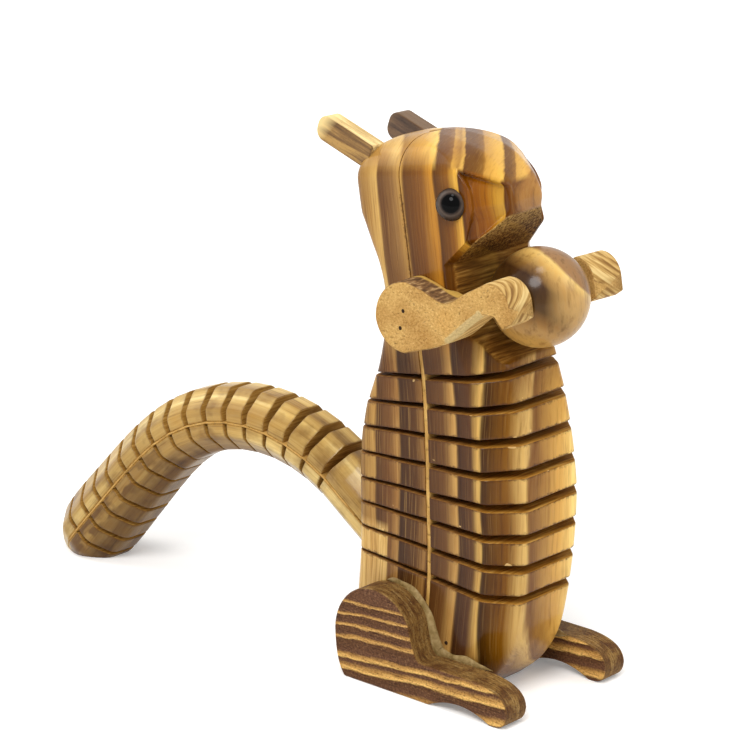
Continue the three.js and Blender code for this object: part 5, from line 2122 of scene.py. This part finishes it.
@dataclass
class Studio:
    """Pale floor, soft light and the camera.

    Each lamp is its name, place, size across in metres and power in watts.
    """

    camera_place: tuple[float, float, float] = (-0.41935, -0.3515, 0.22505)
    azimuth: float = 48.0
    elevation: float = 16.4
    lens: float = 135.8
    sensor: float = 36.0
    floor_half: float = 3.0
    floor_colour: str = "f7f6f4"
    glow_reach: tuple[float, float] = (0.25, 1.1)
    glow: tuple[float, float] = (0.18, 0.9)
    world_light: float = 0.62
    aim: tuple[float, float, float] = (0.0, 0.02, 0.06)
    lamps: tuple[tuple[str, tuple[float, float, float], float, float], ...] = (
        ("key_light", (-0.55, -0.25, 0.75), 0.4, 5.2), ("top_light", (-0.12, -0.11, 0.8), 0.2, 1.0),
        ("front_light", (0.5, -0.75, 0.6), 0.6, 2.0), ("back_light", (-0.2, 0.75, 0.7), 0.8, 2.5),
    )

    def build(self) -> None:
        """Makes the floor, the lights, the world and the camera."""
        scene = bpy.context.scene
        scene.view_settings.view_transform = "Standard"
        self.build_floor()
        self.build_world(scene)
        for lamp in self.lamps:
            self.area(*lamp)
        self.build_camera(scene)

    def build_floor(self) -> None:
        """Wide pale floor that shows white to the camera and keeps the object's shadow."""
        r = self.floor_half
        mesh = bpy.data.meshes.new("floor")
        mesh.from_pydata([(-r, -r, 0), (r, -r, 0), (r, r, 0), (-r, r, 0)], [], [(0, 1, 2, 3)])
        floor = bpy.data.objects.new("floor", mesh)
        bpy.context.scene.collection.objects.link(floor)
        material = bpy.data.materials.new("pale_floor")
        material.use_nodes = True
        tree = material.node_tree
        shader = tree.nodes["Principled BSDF"]
        shader.inputs["Base Color"].default_value = linear(self.floor_colour)
        shader.inputs["Roughness"].default_value = 0.9
        place = Field(add_node(tree, "TexCoord").socket.node.outputs["Object"])
        away = add_node(tree, "VectorMath.LENGTH", place)
        glow = add_node(tree, "MapRange", away, *self.glow_reach, *self.glow)
        strength = add_node(tree, "Math.MULTIPLY", self.looked_at(tree), glow)
        shader.inputs["Emission Color"].default_value = (1.0, 1.0, 1.0, 1.0)
        tree.links.new(strength.socket, shader.inputs["Emission Strength"])
        mesh.materials.append(material)

    @staticmethod
    def looked_at(tree: Tree) -> Field:
        """1 for what is seen straight, in a reflection or through glass, 0 for what only gives light.

        Args:
            tree: the node tree.

        Returns:
            The share.
        """
        path = add_node(tree, "LightPath").socket.node
        seen = Field(path.outputs["Is Camera Ray"])
        for kind in ("Is Glossy Ray", "Is Transmission Ray"):
            seen = add_node(tree, "Math.MAXIMUM", seen, Field(path.outputs[kind]))
        return seen

    def build_world(self, scene: bpy.types.Scene) -> None:
        """Even white surroundings: full white where they are seen, softer as light on the object.

        Args:
            scene: the scene.
        """
        world = bpy.data.worlds.new("studio")
        scene.world = world
        world.use_nodes = True
        tree = world.node_tree
        strength = add_node(tree, "MapRange", self.looked_at(tree), 0.0, 1.0, self.world_light, 1.0)
        background = tree.nodes["Background"]
        background.inputs["Color"].default_value = (1.0, 1.0, 1.0, 1.0)
        tree.links.new(strength.socket, background.inputs["Strength"])

    @staticmethod
    def stood(right: Array, up: Array, back: Array, place: Sequence[float]) -> Matrix:
        """Matrix of an object with the given axes X, Y and Z, at a place."""
        rows = zip(np.stack([right, up, back], 1), place)
        return Matrix([[*row, p] for row, p in rows] + [[0, 0, 0, 1]])

    def area(self, name: str, place: tuple[float, float, float], size: float, power: float) -> None:
        """Round soft light aimed at the middle of the object.

        Args:
            name: the lamp's name.
            place: its place.
            size: its width.
            power: its power.
        """
        light = bpy.data.lights.new(name, "AREA")
        light.shape = "DISK"
        light.size = size
        light.energy = power
        lamp = bpy.data.objects.new(name, light)
        aim = np.array(self.aim) - np.array(place)
        back = -aim / np.linalg.norm(aim)
        right = np.cross([0.0, 0.0, 1.0], back)
        right /= np.linalg.norm(right)
        up = np.cross(back, right)
        lamp.matrix_world = self.stood(right, up, back, place)
        bpy.context.scene.collection.objects.link(lamp)

    def build_camera(self, scene: bpy.types.Scene) -> None:
        """Long lens in front of the squirrel's right side, a little above it.

        Args:
            scene: the scene.
        """
        t, e = math.radians(self.azimuth), math.radians(self.elevation)
        right = np.array([math.cos(t), -math.sin(t), 0.0])
        up = np.array([math.sin(t) * math.sin(e), math.cos(t) * math.sin(e), math.cos(e)])
        back = np.cross(right, up)
        data = bpy.data.cameras.new("camera")
        data.lens = self.lens
        data.sensor_width = self.sensor
        data.sensor_fit = "HORIZONTAL"
        camera = bpy.data.objects.new("camera", data)
        camera.matrix_world = self.stood(right, up, back, self.camera_place)
        scene.collection.objects.link(camera)
        scene.camera = camera


def main() -> None:
    """Builds the studio and every piece of the squirrel around the frame."""
    logging.basicConfig(level=logging.INFO, format="%(name)s: %(message)s")
    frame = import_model()
    blank = BodyBlank()
    body_links = links_along(frame["joints"], "body_hinge", blank.pitch)
    head = body_links[-1]
    Studio().build()
    pine, pale = StripedPine().build(), PaleTailWood().build()
    tape, pin = StripCloth().build(), PinEnd().build()
    Body(body_links, blank).build(pine)
    tail = Tail(links_along(frame["joints"], "tail_hinge", Tail.pitch), body_links[0], blank)
    tail.build(pale)
    Strip("body_strip", body_links, blank.pitch, blank.kerf, blank.base_strip_depth, blank.head_strip_depth,
          blank.strip_shown).build(blank.half_width, tape)
    Strip("tail_strip", tail.links, tail.pitch, tail.kerf, tail.root_strip_depth, tail.tip_strip_depth,
          tail.strip_shown, tail.strip_recess).build(tail.radius, tape)
    Arms(head, blank).build(BareBoard().build(), pin)
    Legs(body_links[0]).build(ScorchedBoard().build(), DriedGlue().build(), pin)
    Ears(head, blank).build({
        Side.RIGHT: EarWood("pale_ear_wood", "4e3310", "78562a", "a88244", "ecd08e").build(),
        Side.LEFT: EarWood("dark_ear_wood", "342214", "4e3826", "684d34", "6e553b").build(),
    })
    Eyes(head, blank).build(EyeDome().build())
    Ball(head, blank).build(TurnedBall().build())


if __name__ == "__main__":
    main()
